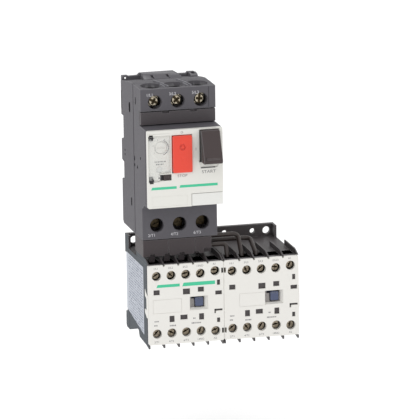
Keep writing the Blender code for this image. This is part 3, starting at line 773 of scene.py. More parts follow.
block(marks, (left + 40.3, left + 40.6), (terminal_y - 1, terminal_y + 0.4), (strip.top + 0.8, top - 0.6))
shell = carve(shell, marks)
print("front shell after its ports:", len(shell.faces), "faces")

# %% [markdown]
# A funnel is cut in two passes, first the flared lip and then the drum below it, because cutters
# that overlap one another confuse the solver. The screw mouths are cut in the same way.

# %% Cut the funnels and the screw mouths
funnel_y = -36.2
funnel_stretch = (0.93, 1.1, 1)
for centre_z, radius, length, far_radius in ((top - 0.6, 6.3, 3.6, 7.0), (117.6, 6.2, 9.6, None)):
    funnels = bmesh.new()
    for pole in breaker_poles:
        oval = Matrix.Translation((-pole, -funnel_y, 0))
        cone = rod(funnels, "z", (pole, funnel_y, centre_z), radius, length, 56, far_radius)
        bmesh.ops.scale(funnels, vec=funnel_stretch, space=oval, verts=cone)
    shell = carve(shell, funnels)
for depth, radius, length, far_radius in ((2.5, 4.0, 8.0, None), (0.0, 3.9, 0.7, 4.7)):
    mouths = bmesh.new()
    for pole in breaker_poles:
        for height in (upper_z, lower_z):
            rod(mouths, "y", (pole, terminal_y + depth, height), radius, length, 48, far_radius)
    shell = carve(shell, mouths)
made = piece("front_shell", shell, slate, BASE, ["breaker_front_shell"])


# painted shade: faces in the holes on the left side and down in the funnel drums get the black finish
def in_pocket(spot, facing):
    beside = left + 0.36 < spot.x < left + 2.6 and 70 < spot.z < 119 and spot.y > -47
    below = 111 < spot.z < 121.6 and -43.5 < spot.y < -29 and abs(facing.z) < 0.3
    return beside or (below and left + 1 < spot.x < right - 1)


blacken(made, in_pocket)

# %% [markdown]
# ## Breaker: funnel webs
# Between neighbouring funnels stand three thin springy webs that keep wires apart. Their lighter colour
# is painted light: a lighter copy of the slate stands for the light their narrow tops catch.

# %% Add the funnel webs
webs = bmesh.new()
web_runs = ((-2.2, 1.0, -23.5, -34.0), (0.4, 2.0, -33.0, -42.0), (-1.2, -0.2, -35.0, -42.5))
for gap in (middle_x - breaker_pitch / 2, middle_x + breaker_pitch / 2):
    for rear, fore, back_end, front_end in web_runs:
        shape = [(gap + rear - 0.3, back_end), (gap + rear + 0.3, back_end)]
        shape += [(gap + fore + 0.3, front_end), (gap + fore - 0.3, front_end)]
        slab(webs, shape, "z", 121.0, top + 0.55)
soften(webs, 0.1)
# painted light: the webs take the lighter slate copy for the light on their tops
piece("funnel_webs", webs, painted_light_slate, BASE)

# %% [markdown]
# ## Breaker: shoulder strip
# A separate brown-black bar closes the shoulder over the mechanism. Two small notches in its
# top edge are where a screwdriver lifts it off.

# %% Model the shoulder strip
bar = bmesh.new()
bar_z = (strip.bottom + 0.35, strip.top - 0.15)
block(bar, (strip.left, strip.right), (strip.front, strip.back), bar_z)
notch = bmesh.new()
for offset in (15.0, 31.5):
    near = left + offset
    notch_z = (strip.top - 1.3, strip.top + 1)
    block(notch, (near - 2.0, near + 2.0), (strip.front - 1, strip.front + 1.7), notch_z)
bar = carve(bar, notch)
soften(bar, 0.22)
piece("shoulder_strip", bar, brown_black, BASE, ["breaker_shoulder_strip"])

# %% [markdown]
# ## Breaker: white face
# The face is a flat moulding with four ports. Its details are shallow: a recess that the clear
# lid drops into, a fine line above it, two hook notches at the lid's hinge, a finger scoop under
# the start button, a sunk field at the lower left and the marker recess at the lower right.

# %% Model the white face
lid = reach("dial_lid")
slider = reach("test_slider")
marker = reach("marker_plate")
face_y = face.front
plate = bmesh.new()
slab(plate, rounded((face.left, face.right), (face.bottom, face.top), 0.8), "y", face_y, face.back)


def lid_outline(grow):
    """The lid leaves a corner free for the test slider."""
    step_x, step_z = left + 7.2 + grow, slider.top + 1.1 - grow
    return [
        (lid.left - grow, lid.top + grow),
        (lid.left - grow, lid.bottom - grow),
        (step_x, lid.bottom - grow),
        (step_x, step_z),
        (lid.right + grow, step_z),
        (lid.right + grow, lid.top + grow),
    ]


cuts = bmesh.new()
slab(cuts, lid_outline(0.25), "y", face_y - 2, face_y + 1.2)
plate = carve(plate, cuts)
through = (face_y - 3, face.back + 3)
gap = 0.3
cuts = bmesh.new()
for button in (stop, start):
    wide = (button.left - gap, button.right + gap)
    block(cuts, wide, through, (button.bottom - gap, button.top + gap))
rod(cuts, "y", (dial_x, face_y, dial_z), 3.65, 12, 64)
slider_z = (slider.bottom - gap, slider.top + gap)
block(cuts, (slider.left - 2.8, slider.right + gap), through, slider_z)
for hook_z in ((lid.top - 2.6, lid.top + 1.0), (lid.bottom - 1.2, lid.bottom + 3.0)):
    block(cuts, (lid.left + 0.2, lid.left + 2.6), through, hook_z)
plate = carve(plate, cuts)
cuts = bmesh.new()
block(cuts, (marker.left - 0.25, face.right + 5), (face_y - 2, face_y + 1.1), (40, marker.top + 0.25))
scoop = [(start.left - 0.9, start.bottom + 1.0), (start.right + 0.9, start.bottom + 1.0)]
scoop += [(start.right - 1.2, start.bottom - 3.6), (start.left + 0.4, start.bottom - 3.9)]
slab(cuts, scoop, "y", face_y - 2, face_y + 0.55)
field_z = (face.bottom + 1.0, marker.top - 0.4)
block(cuts, (left + 2.6, left + 23.4), (face_y - 1, face_y + 0.16), field_z)
block(cuts, (face.left - 1, stop.left - 1.5), (face_y - 1, face_y + 0.3), (lid.top + 1.35, lid.top + 1.6))
plate = carve(plate, cuts)
soften(plate, 0.11)
piece("white_face", plate, face_white, BASE, ["breaker_face"])

# %% [markdown]
# The slider's port is cut wide, out to the edge of the lid's recess, and a small white filler
# closes its left end again. The marker panel is a plain tile that sits in its own recess.

# %% Model the filler and the marker panel
filler = bmesh.new()
filler_x = (slider.left - 2.7, slider.left - 1.9)
block(filler, filler_x, (face_y + 1.3, face.back), (slider.bottom - 0.2, slider.top + 0.2))
piece("slider_port_filler", soften(filler, 0.05, 1), face_white, BASE)

plate = bmesh.new()
block(plate, (marker.left, marker.right), (marker.front, marker.back), (marker.bottom, marker.top))
soften(plate, 0.2)
piece("marker_panel", plate, marker_white, BASE, ["marker_plate"])

# %% [markdown]
# ## Breaker: stop and start buttons
# The stop button is a red pad with a chamfered upper edge, a moulded ring and a shallow thumb
# dimple. It starts as a slab, and the ring and the dimple are carved with a rod and a ball. Its
# stem is added last, so that the bevel leaves it alone.

# %% Model the stop button
stop_x = (stop.left + stop.right) / 2
ring_z = stop.top - 6.6
dimple_radius, dimple_depth = 6.0, 0.22
pad = bmesh.new()
pad_outline = rounded((stop.left, stop.right), (stop.bottom, stop.top), 0.9)
slab(pad, pad_outline, "y", stop.front, stop.back - 3.0)
ledge = bmesh.new()
chamfer = [(stop.front - 1, stop.top - 3.4)]
chamfer += [(stop.front - 1, stop.top + 1), (stop.front + 1.5, stop.top + 1)]
slab(ledge, chamfer, "x", stop.left - 1, stop.right + 1)
pad = carve(pad, ledge)
ring = bmesh.new()
rod(ring, "y", (stop_x, stop.front, ring_z), 1.6, 0.2, 48)
pad = carve(pad, ring)
core = bmesh.new()
rod(core, "y", (stop_x, stop.front + 0.1, ring_z), 1.2, 0.2, 48)
pad = carve(pad, core, "UNION")
ball = Matrix.Translation((stop_x, stop.front + dimple_depth - dimple_radius, stop.top - 13.6))
dimple = bmesh.new()
bmesh.ops.create_uvsphere(
    dimple, u_segments=48, v_segments=24, radius=dimple_radius, matrix=ball
)
pad = carve(pad, dimple)
soften(pad, 0.28, 3)
block(pad, (stop_x - 3, stop_x + 3), (stop.back - 3.2, stop.back), (84, 92))
piece("stop_pad", pad, stop_red, "stop_button", ["stop_button"])

# %% [markdown]
# The start button is a wedge that gets thicker downwards, so a thumb finds it without looking.
# Seen from the side it is one outline. Three grip lines are carved near its lower edge, and its
# left side, which always lies in shadow, gets the black finish.

# %% Model the start button
start_x = (start.left + start.right) / 2
wedge = bmesh.new()
tip = start.front
outline = [
    (start.back - 4.6, start.top),
    (tip + 7.3, start.top),
    *arc(tip + 7.5, start.top - 1.0, 0.9, 90, 165, 3)[1:],
    (tip + 3.5, start.top - 8.3),
    (tip + 0.2, start.bottom + 3.0),
    *arc(tip + 1.5, start.bottom + 1.6, 1.5, 170, 265, 5),
    (start.back - 4.6, start.bottom),
]
slab(wedge, outline, "x", start.left, start.right)
grips = bmesh.new()
for step in range(3):
    height = start.bottom + 3.2 + step * 1.5
    grip = (start_x, tip + 0.03 + step * 0.33, height)
    rod(grips, "x", grip, 0.3, start.right - start.left - 3.0, 12)
wedge = carve(wedge, grips)
soften(wedge, 0.55, 3)
block(wedge, (start_x - 3, start_x + 3), (start.back - 5, start.back), (88, 96))
made = piece("start_wedge", wedge, start_brown, "start_button", ["start_button"])
blacken(made, lambda spot, facing: facing.x < -0.7 and spot.x < start.left + 0.3)

# %% [markdown]
# ## Breaker: dial, slider and clear lid
# The dial is a low drum with a screwdriver slot and fine notches round its edge, cut by a ring
# of small rods. The test slider is a tab with three ribs for a fingertip.

# %% Model the dial and the test slider
knob_radius, notch_count = 3.4, 24
knob = bmesh.new()
rod(knob, "y", (dial_x, dial.front + 0.6, dial_z), knob_radius, 1.2, 72)
soften(knob, 0.15)
slot = bmesh.new()
slot_z = (dial_z - 0.42, dial_z + 0.42)
block(slot, (dial_x - 2.3, dial_x + 2.3), (dial.front - 1, dial.front + 0.6), slot_z)
for rim_x, rim_z in arc(dial_x, dial_z, knob_radius + 0.05, 0, 360, notch_count)[:-1]:
    rod(slot, "y", (rim_x, dial.front + 0.3, rim_z), 0.16, 1.4, 8)
knob = carve(knob, slot)
rod(knob, "y", (dial_x, dial.back - 3.0, dial_z), 1.3, 6.0, 24)
piece("dial_knob", knob, face_white, "setting_dial", ["setting_dial"])

tab = bmesh.new()
block(tab, (slider.left, slider.right), (slider.front, slider.back), (slider.bottom, slider.top))
ribs = bmesh.new()
for step in range(3):
    near = slider.left + 0.95 + step * 1.05
    rib_z = (slider.bottom + 0.4, slider.top - 0.4)
    block(ribs, (near, near + 0.5), (slider.front - 1, slider.front + 0.35), rib_z)
tab = carve(tab, ribs)
soften(tab, 0.15)
piece("slider_tab", tab, start_brown, "test_slider", ["test_slider"])

# %% [markdown]
# A clear lid with a turned-down rim covers the dial and hooks into two notches on the left, where dark
# hook shapes are painted shade. A small boss takes a seal. The lid is a thin shell, so its rim is what
# catches the light.

# %% Model the clear lid and its hooks
seal_spot = (left + 7.2, face.top - 22.8)
pane = bmesh.new()
slab(pane, lid_outline(0.0), "y", lid.front, lid.back)
under = bmesh.new()
slab(under, lid_outline(-0.55), "y", lid.front + 0.35, lid.back + 1)
pane = carve(pane, under)
soften(pane, 0.12)
rod(pane, "y", (seal_spot[0], lid.front + 0.32, seal_spot[1]), 2.0, 0.5, 40)
piece("clear_lid", pane, clear_sheet, "dial_lid", ["dial_lid"])

# painted shade: dark hook shapes fill the two hook notches at the lid's hinge
notch_shade = bmesh.new()
for height, turn in ((lid.top - 0.9, 1), (lid.bottom + 0.6, -1)):
    profile = ((0.9, 0.5), (3.4, 0.9), (3.9, 0.2), (3.4, -1.3), (2.7, -1.3), (2.6, -0.2), (1.2, -0.4))
    hook = [(left + u, height + w * turn) for u, w in profile]
    slab(notch_shade, hook, "y", face_y - 0.05, face_y + 1.5)
soften(notch_shade, 0.08, 1)
piece("hook_notch_shade", notch_shade, black_plastic_and_shade, BASE)

seal = bmesh.new()
rod(seal, "y", (seal_spot[0], lid.back + 0.12, seal_spot[1]), 1.75, 0.2, 40)
piece("seal_boss", seal, marker_white, BASE)

# %% [markdown]
# ## Breaker: link block
# The link block plugs into the breaker's outputs and into the first contactor. It is the
# finished frame node, merged, with mould seams and a stepped foot carved into it.


# %% Copy and detail the link block
def copied(*names, close=0.004):
    """The merged meshes of frame nodes, in millimetres, ready to be carved."""
    bm = bmesh.new()
    for name in names:
        bm.from_mesh(nodes[name].data)
    for layer in list(bm.loops.layers.uv):
        bm.loops.layers.uv.remove(layer)
    bmesh.ops.scale(bm, vec=(1 / mm, 1 / mm, 1 / mm), verts=bm.verts)
    bmesh.ops.remove_doubles(bm, verts=bm.verts, dist=close)
    bmesh.ops.dissolve_degenerate(bm, edges=bm.edges, dist=0.002)
    return bm


link_right, link_top, link_foot = 17.6, 35.1, 24
body = copied("link_block")
cuts = bmesh.new()
for x in (-8.2, 7.7):
    block(cuts, (x, x + 0.3), (terminal_y - 1, terminal_y + 0.4), (link_foot, link_top + 1))
block(cuts, (link_right - 4.6, link_right + 1), (terminal_y - 1, terminal_y + 2.5), (link_foot, 28.0))
for pole in range(4):
    x = (pole - 2) * pole_pitch
    block(cuts, (x - 1.5, x + 1.5), (terminal_y - 1, terminal_y + 1.4), (link_foot, 26.6))
block(cuts, (link_right - 0.8, link_right + 1), (-41.5, -36.5), (26.8, 33.5))
body = carve(body, cuts, crossing=True)
soften(body, 0.3)
piece("link_housing", body, link_brown, BASE, ["link_block"])

# %% [markdown]
# ## Screw terminals
# Every pole has the same stack: a contact pad, a threaded shank, a square clamp washer and a
# cross-slotted head. The head is a rod with a bevelled front. Its long slot, its short slot and
# the cone where they meet are cut one after another, because they overlap.


# %% Turn a screw head and a shank
def cross_head(radius, front, back, arm=0.27, depth=1.1):
    """A pan head with a cross recess and a wide slot."""
    head = bmesh.new()
    rod(head, "y", (0, (front + back) / 2, 0), radius, back - front, 40)
    bevelled = [edge for edge in head.edges if all(abs(v.co.y - front) < 0.01 for v in edge.verts)]
    bmesh.ops.bevel(
        head,
        geom=bevelled,
        offset=radius * 0.22,
        offset_type="OFFSET",
        segments=3,
        profile=0.5,
        affect="EDGES",
        material=-1,
    )
    long, short, narrow = radius * 1.1, radius * 0.7, radius * arm
    recess = bmesh.new()
    block(recess, (-long, long), (front - 1, front + depth * 0.55), (-narrow, narrow))
    head = carve(head, recess)
    recess = bmesh.new()
    block(recess, (-narrow, narrow), (front - 1, front + depth), (-short, short))
    head = carve(head, recess)
    recess = bmesh.new()
    rod(recess, "y", (0, front + depth * 0.4, 0), radius * 0.16, depth * 2.2, 16, radius * 0.42)
    return carve(head, recess)


def threaded(bm, radius, front, back):
    """A shank with a coarse ridge at every half millimetre."""
    flank = 0.28
    place = front
    while place < back - 0.3:
        rod(bm, "y", (0, place + flank / 2, 0), radius, flank, 20, radius * 0.8)
        rod(bm, "y", (0, place + flank * 1.5, 0), radius * 0.8, flank, 20, radius)
        place += 2 * flank


trial = cross_head(3.0, 0.0, 2.0)
print("a screw head has", len(trial.faces), "faces")
trial.free()

# %% [markdown]
# The stack is shaped once about the screw's own axis. Placing it copies it to a pole and turns the head
# to its own angle, the way a hand leaves them. The faces inside the recess get the dark plate as painted
# shade.


# %% Shape the stack and place it
def absorb(bm, other):
    """Moves all of another bmesh into this one."""
    spare = bpy.data.meshes.new("spare")
    other.to_mesh(spare)
    other.free()
    bm.from_mesh(spare)
    bpy.data.meshes.remove(spare)


def terminal_stack(pad, clamp, head_radius, stops, strip_to=0.0, sink=0.0, arm=0.27):
    """Pad and clamp as one bmesh, head as another, both about the screw's own axis."""
    pad_y, clamp_y, head_y, front_y = stops
    seat = bmesh.new()
    slab(seat, rounded((-pad, pad), (-pad, pad), 0.5, 3), "y", pad_y - 1.2, pad_y)
    grooves = bmesh.new()
    for step in (-2, -1, 1, 2):
        block(grooves, (step * 0.8 - 0.15, step * 0.8 + 0.15), (pad_y - 2, pad_y - 1.0), (-5, 5))
    seat = carve(seat, grooves)
    if strip_to:
        strip_z = sorted((math.copysign(pad - 0.2, strip_to), strip_to))
        block(seat, (-2.0, 2.0), (pad_y - 1.0, pad_y), strip_z)
    soften(seat, 0.12, 1)
    washer = bmesh.new()
    square = rounded((-clamp, clamp), (-clamp, clamp), 0.9, 4)
    slab(washer, square, "y", clamp_y + sink - 1.2, clamp_y + sink)
    soften(washer, 0.2, 2)
    threaded(seat, head_radius * 0.55, clamp_y + sink, pad_y - 1.0)
    absorb(seat, washer)
    head = cross_head(head_radius, front_y + sink, head_y + sink, arm)
    return seat, head


def place_terminal(name, pattern, x, z, turn, finishes, head_reach=1.75):
    """Copies a stack to one pole, with its head turned and painted shade in its recess."""
    seat, head = pattern
    whole = seat.copy()
    turned = head.copy()
    spun = Matrix.Rotation(turn, 3, "Y")
    bmesh.ops.rotate(turned, verts=turned.verts, cent=(0, 0, 0), matrix=spun)
    bmesh.ops.recalc_face_normals(whole, faces=whole.faces)
    bmesh.ops.recalc_face_normals(turned, faces=turned.faces)
    first_of_head = len(whole.faces)
    absorb(whole, turned)
    bmesh.ops.translate(whole, verts=whole.verts, vec=(x, 0, z))
    made = piece(f"{name}_screw", whole, finishes[0], BASE, [name], recalc=False)
    made.data.materials.append(finishes[1])
    made.data.materials.append(dark_plate)
    front = min(polygon.center.y for polygon in made.data.polygons)
    # painted shade: faces sunk inside the head's recess get the dark plate
    for polygon in made.data.polygons[first_of_head:]:
        off_axis = math.hypot(polygon.center.x - x * mm, polygon.center.z - z * mm)
        sunk = polygon.center.y > front + 0.2 * mm
        polygon.material_index = 2 if sunk and off_axis < head_reach * mm else 1
    return made


seat_y = reach("breaker_line_terminal_1")
breaker_stops = (seat_y.back, seat_y.back - 6.0, seat_y.back - 7.0, seat_y.front)
breaker_stack = terminal_stack(4.2, 3.6, 2.85, breaker_stops)
sunk_stack = terminal_stack(4.2, 3.6, 2.85, breaker_stops, sink=2.2)
for number, pole in enumerate(breaker_poles, 1):
    turn = math.radians((28, 52, 96)[number - 1])
    place_terminal(f"breaker_line_terminal_{number}", breaker_stack, pole, upper_z, turn,
                   (bright_plate, bright_plate), 2.2)
    place_terminal(f"breaker_load_terminal_{number}", sunk_stack, pole, lower_z, turn + 0.6,
                   (dark_plate, dark_plate), 2.2)

# %% [markdown]
# Each contactor has five poles above and five below, and every pad sends a contact strip inwards.
# The fifth pole, for the coil, sits a little off the row. The heads have a narrower cross.

# %% Place the contactor terminals
pole_stop = reach("left_top_terminal_1")
pole_stops = (pole_stop.back, pole_stop.back - 7.0, pole_stop.back - 8.0, pole_stop.front)
upper_stack = terminal_stack(3.3, 3.2, 2.4, pole_stops, strip_to=-9.9, arm=0.17)
lower_stack = terminal_stack(3.3, 3.2, 2.4, pole_stops, strip_to=9.9, arm=0.17)
contactor_x = {"left": 0.0, "right": pitch}
outward = {"left": -1, "right": 1}
half_body = pitch / 2 - 0.15
turns = {"left": (40, 118, 62, 24, 71), "right": (55, 142, 33, 80, 12)}
rows = (
    # row, stack, height, how far the fifth pole stands off, extra turn of the heads
    ("top", upper_stack, 15.5, 0.9, 17),
    ("bottom", lower_stack, -18.7, -0.6, 0),
)


def pole_x(cx, pole):
    """The middle of a contactor's pole, counted from 0 at its left."""
    return cx + (pole - 2) * pole_pitch


for side, cx in contactor_x.items():
    for row, pattern, height, shift, extra in rows:
        for pole in range(5):
            z = height + (shift if pole == 4 else 0.0)
            turn = math.radians(turns[side][pole] + extra)
            name = f"{side}_{row}_terminal_{pole + 1}"
            finishes = (bright_plate, screw_plate)
            place_terminal(name, pattern, pole_x(cx, pole), z, turn, finishes, head_reach=1.2)
print("contactor terminals:", 2 * 2 * 5)

# %% [markdown]
# ## Contactor bases
# A base is one deep moulding: rail feet at the back, a well for the magnet and dividing fins between the
# terminals. The frame node already has that shape. Here it is merged, given two score lines down its
# outer wall, a lead-in at its fixing hole and soft edges. Its outer wall gets a blue-grey copy of the
# moulding as painted side light; everything else is the darker moulding.

# %% Detail the bases
fixing_hole_u, fixing_hole_z = 17.5, 25.05
for side, cx in contactor_x.items():
    outer = outward[side]
    body = copied(f"{side}_base", close=0.12)
    cuts = bmesh.new()
    rod(cuts, "y", (cx + outer * fixing_hole_u, 0.62, fixing_hole_z), 2.1, 0.9, 40, 2.8)
    wall = cx + outer * half_body
    block(cuts, (wall - 0.3, wall + 0.3), (-5.2, -4.7), (-26.0, 20.5))
    block(cuts, (wall - 0.3, wall + 0.3), (-49.8, -49.4), (-25.5, 20.8))
    body = carve(body, cuts)
    soften(body, 0.16, 2, keep=lambda edge: edge.calc_length() > 0.5)
    for each_face in body.faces:
        each_face.material_index = 0
    made = piece(f"{side}_frame", body, dark_slate, BASE, [f"{side}_base"])
    # painted side light: outer wall faces get the blue-grey copy of the moulding
    made.data.materials.append(blue_slate)
    limit = (wall - outer * 0.1) * mm
    count = 0
    for polygon in made.data.polygons:
        if polygon.normal.x * outer > 0.6 and polygon.center.x * outer > limit * outer:
            polygon.material_index = 1
            count += 1
    print(side, "outer wall faces:", count)

# %% [markdown]
# ## Contactor covers
# The white cover is a plate with round screw holes, small marker windows, a larger window for
# the blue carrier and a framed field for a label. All openings are listed once, measured from
# the cover's top left corner, and cut by one loop.

# %% Measure out the covers
cover = reach("left_cover")
half_cover = (cover.right - cover.left) / 2


def on_cover(cx, u, w):
    """A point u across and w down from the cover's top left corner."""
    return cx - half_cover + u, cover.top - w


cover_y = cover.front
window_u, window_z = (2.0, 12.9), (-5.9, 2.3)
label_fields = {"left": ((2.6, 28.6), (19.7, 20.4)), "right": ((9.0, 28.2), (24.6, 20.3))}
openings = (
    # from the left edge, from the top edge, width, height
    (4.9, 16.1, 3.7, 3.0),
    (22.6, 16.6, 4.3, 3.5),
    (31.2, 15.9, 3.7, 3.0),
    (41.7, 12.5, 1.9, 3.2),
    (41.7, 18.6, 4.0, 2.4),
    (13.8, 32.3, 3.0, 3.8),
    (20.9, 31.7, 4.3, 2.9),
    (31.4, 32.1, 3.0, 3.8),
    (41.5, 28.8, 4.8, 1.2),
    (39.5, 29.6, 0.9, 2.4),
    (41.5, 34.9, 1.9, 2.7),
)


def outline_groove(bm, x, z, wide=0.22, deep=0.2):
    """A rectangular line engraved in a cover's front."""
    for low, high in (z[0], z[0] + wide), (z[1] - wide, z[1]):
        block(bm, x, (cover_y - 1, cover_y + deep), (low, high))
    for low, high in (x[0], x[0] + wide), (x[1] - wide, x[1]):
        block(bm, (low, high), (cover_y - 1, cover_y + deep), z)


def cut_openings(bm, cx, grow, depth):
    """One block for each opening in a cover, grown by a margin all round."""
    for u, w, wide, high in openings:
        x, z = on_cover(cx, u, w)
        half_wide, half_high = wide / 2 + grow, high / 2 + grow
        block(bm, (x - half_wide, x + half_wide), depth, (z - half_high, z + half_high))


print("openings in a cover:", len(openings))

# %% [markdown]
# A cover starts as the merged frame node and is softened before it is cut, so the small openings stay
# crisp. Dark tiles lie behind the windows as painted shade for the dim inside. The tabs on the outer side
# are their own piece.

# %% Detail the covers
deep_cut = (cover_y - 1, cover_y + 4)
for side, cx in contactor_x.items():
    outer = outward[side]
    plate = copied(f"{side}_cover")
    soften(plate, 0.16, 2, 50)
    cuts = bmesh.new()
    cut_openings(cuts, cx, 0.0, deep_cut)
    block(cuts, (cx + window_u[0], cx + window_u[1]), deep_cut, window_z)
    for gap in (-1.5, -0.5, 0.5, 1.5):
        x = cx + gap * pole_pitch
        block(cuts, (x - 0.6, x + 0.6), deep_cut, (cover.top - 0.9, cover.top + 1))
    inner_edge = cx - outer * half_cover
    for down in (5.6, 41.3):
        z = cover.top - down
        block(cuts, (inner_edge - 1.3, inner_edge + 1.3), deep_cut, (z - 1.55, z + 1.55))
    low_corner, high_corner = (on_cover(cx, u, w) for u, w in label_fields[side])
    outline_groove(cuts, (low_corner[0], high_corner[0]), (low_corner[1], high_corner[1]))
    plate = carve(plate, cuts, crossing=True)
    # painted shade: dark tiles behind the small windows stand for the dim inside of the contactor
    shade_backing = bmesh.new()
    cut_openings(shade_backing, cx, 0.3, (cover_y + 1.0, cover_y + 1.5))
    piece(f"{side}_window_shade_backing", shade_backing, dark_slate, BASE)
    clip = [(-50.9, 4.2), (-46.6, 6.9), (-46.9, 3.0), (-49.2, 2.4), (-50.2, 1.8), (-50.2, -5.0)]
    clip += [(-46.0, -4.8), (-46.2, -7.0), (-50.9, -9.4)]
    wall = cx + outer * half_cover
    clips = bmesh.new()
    slab(clips, clip, "x", *sorted((wall, wall + outer * 0.5)))
    bridge = [(-50.95, 4.2), (-50.95, -9.4), (cover_y + 0.6, -9.0), (cover_y + 0.6, 3.8)]
    slab(clips, bridge, "x", *sorted((wall - outer * 0.25, wall + outer * 0.5)))
    soften(clips, 0.1, 1)
    piece(f"{side}_clips", clips, warm_white, BASE)
    piece(f"{side}_cover_plate", plate, warm_white, BASE, [f"{side}_cover"])

# %% [markdown]
# The two covers almost touch. A thin white strip fills the joint, so no light comes through, and a low
# brown-black block over each terminal pocket is painted shade for the pocket's dim inside.

# %% Fill the joint and cover the pockets with painted shade
joint = bmesh.new()
joint_x = (contactor_x["left"] + contactor_x["right"]) / 2
joint_z = (cover.bottom + 0.8, cover.top - 0.8)
block(joint, (joint_x - 0.13, joint_x + 0.13), (cover_y + 0.3, cover_y + 2.2), joint_z)
piece("cover_joint", soften(joint, 0.03, 1), warm_white, BASE)
# painted shade: low brown-black blocks over each terminal pocket stand for its dim inside
pocket_shade_outline = [(-52.6, 20.9), (-52.6, 21.8), (-51.4, 22.2), (-47.0, 21.6), (-46.6, 20.9)]
for side, cx in contactor_x.items():
    pocket_shade = bmesh.new()
    for pole in range(5):
        slab(pocket_shade, pocket_shade_outline, "x", pole_x(cx, pole) - 3.6, pole_x(cx, pole) + 3.6)
    soften(pocket_shade, 0.15)
    piece(f"{side}_pocket_shade_blocks", pocket_shade, brown_black, BASE)

# %% [markdown]
# Behind the window sits a grey funnel: its walls slope inwards to a smaller opening, so the
# blue carrier looks recessed. It is a frame with a bevelled inner edge, made by bridging two
# rectangular loops.


# %% Line the carrier windows
def ring_of(bm, x, z, y):
    """A rectangular loop of edges facing the reader."""
    spots = ((x[0], z[0]), (x[1], z[0]), (x[1], z[1]), (x[0], z[1]))
    verts = [bm.verts.new((spot[0], y, spot[1])) for spot in spots]
    return [bm.edges.new((verts[at], verts[(at + 1) % 4])) for at in range(4)]


for side, cx in contactor_x.items():
    funnel = bmesh.new()
    mouth = ring_of(funnel, (cx + window_u[0], cx + window_u[1]), window_z, cover_y + 0.25)
    neck = ring_of(funnel, (cx + 2.5, cx + 11.4), (-5.0, 2.2), cover_y + 2.35)
    bmesh.ops.bridge_loops(funnel, edges=mouth + neck)
    bmesh.ops.recalc_face_normals(funnel, faces=funnel.faces)
    bmesh.ops.solidify(funnel, geom=funnel.faces[:], thickness=-0.3)
    piece(f"{side}_window_funnel", funnel, warm_white, BASE)
    back_plate = bmesh.new()
    block(back_plate, (cx + 1.9, cx + 12.6), (cover_y + 2.75, cover_y + 3.1), (-5.6, 2.5))
    opening = bmesh.new()
    for opening_x, low in (((cx + 5.4, cx + 10.9), -4.7), ((cx + 3.6, cx + 6.0), 0.2)):
        block(opening, opening_x, (cover_y - 1, cover_y + 10), (low, 2.0))
    back_plate = carve(back_plate, opening, crossing=True)
    soften(back_plate, 0.08, 1)
    piece(f"{side}_window_back", back_plate, inner_grey, BASE)

# %% [markdown]
# The blue carrier is the part of the mechanism that shows: it moves in when its contactor
# closes. Its metal contact bridges, above and below the stem, get the bright plate.

# %% Finish the blue carriers
for side, cx in contactor_x.items():
    carrier = copied(f"{side}_contact_carrier")
    cuts = bmesh.new()
    block(cuts, (cx + 6.4, cx + 9.6), (cover_y, cover_y + 1.5), (0.35, 0.6))
    carrier = carve(carrier, cuts)
    soften(carrier, 0.14, 2)
    made = piece(f"{side}_carrier", carrier, carrier_blue, f"{side}_moving",
                 [f"{side}_contact_carrier"])
    made.data.materials.append(bright_plate)
    for polygon in made.data.polygons:
        spot = polygon.center / mm
        if abs(spot.z) > 4.25 and spot.y > -46.5:
            polygon.material_index = 1

# %% [markdown]
# ## Return springs
# Each armature is pushed out by a compression spring. A circle of wire is spun along a rising turn, which
# is how a spring is wound. The real spring squashes as its contactor closes; this one keeps its wound
# length.

# %% Wind the return springs
wire_radius, coil_radius, turns_count, spin_steps = 0.4, 8.3, 2.5, 120
for side, cx in contactor_x.items():
    coil_spot = reach(f"{side}_return_spring")
    spring = bmesh.new()
    start_y, end_y = coil_spot.back - wire_radius, coil_spot.front + wire_radius
    section = Matrix.Translation((cx + coil_radius, start_y, 0))
    bmesh.ops.create_circle(spring, cap_ends=False, segments=12, radius=wire_radius, matrix=section)
    bmesh.ops.spin(
        spring,
        geom=spring.verts[:] + spring.edges[:],
        cent=(cx, 0, 0),
        axis=(0, 1, 0),
        dvec=(0, (end_y - start_y) / spin_steps, 0),
        angle=math.tau * turns_count,
        steps=spin_steps,
        use_merge=False,
        use_duplicate=False,
    )
    ends = [edge for edge in spring.edges if len(edge.link_faces) == 1]
    bmesh.ops.holes_fill(spring, edges=ends, sides=20)
    made = piece(f"{side}_spring", spring, spring_wire, BASE, [f"{side}_return_spring"])
    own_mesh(made)

# %% [markdown]
# ## Jumper wires
# Three insulated wires leave the link block, turn forward and drop into the second contactor.
# A wire is a curve with a round bevel: the route is a few corners, each rounded by a short arc.


# %% Plan a bent route
def mesh_of(curve):
    """The mesh that a curve or a text draws."""
    drawn = bpy.data.objects.new("drawn", curve)
    scene.collection.objects.link(drawn)
    bpy.context.view_layer.update()
    solid = bpy.data.meshes.new_from_object(
        drawn.evaluated_get(bpy.context.evaluated_depsgraph_get())
    )
    bpy.data.objects.remove(drawn)
    bpy.data.curves.remove(curve)
    return solid


def bend(route, radius, steps=10):
    """A route with an arc at each inner corner."""
    points = [route[0]]
    for before, corner, after in zip(route, route[1:], route[2:]):
        start_arc = corner + (before - corner).normalized() * radius
        end_arc = corner + (after - corner).normalized() * radius
        for step in range(steps + 1):
            share = step / steps
            points.append(start_arc.lerp(corner, share).lerp(corner.lerp(end_arc, share), share))
    return points + [route[-1]]


corner = [Vector((0, 0, 0)), Vector((10, 0, 0)), Vector((10, 10, 0))]
print("points on a route with one corner:", len(bend(corner, 3.0)))

# %% [markdown]
# Each wire gets its own depth and height, so that no two cross. The bevelled curve is turned
# into a mesh before it becomes a piece, because only meshes are exported.

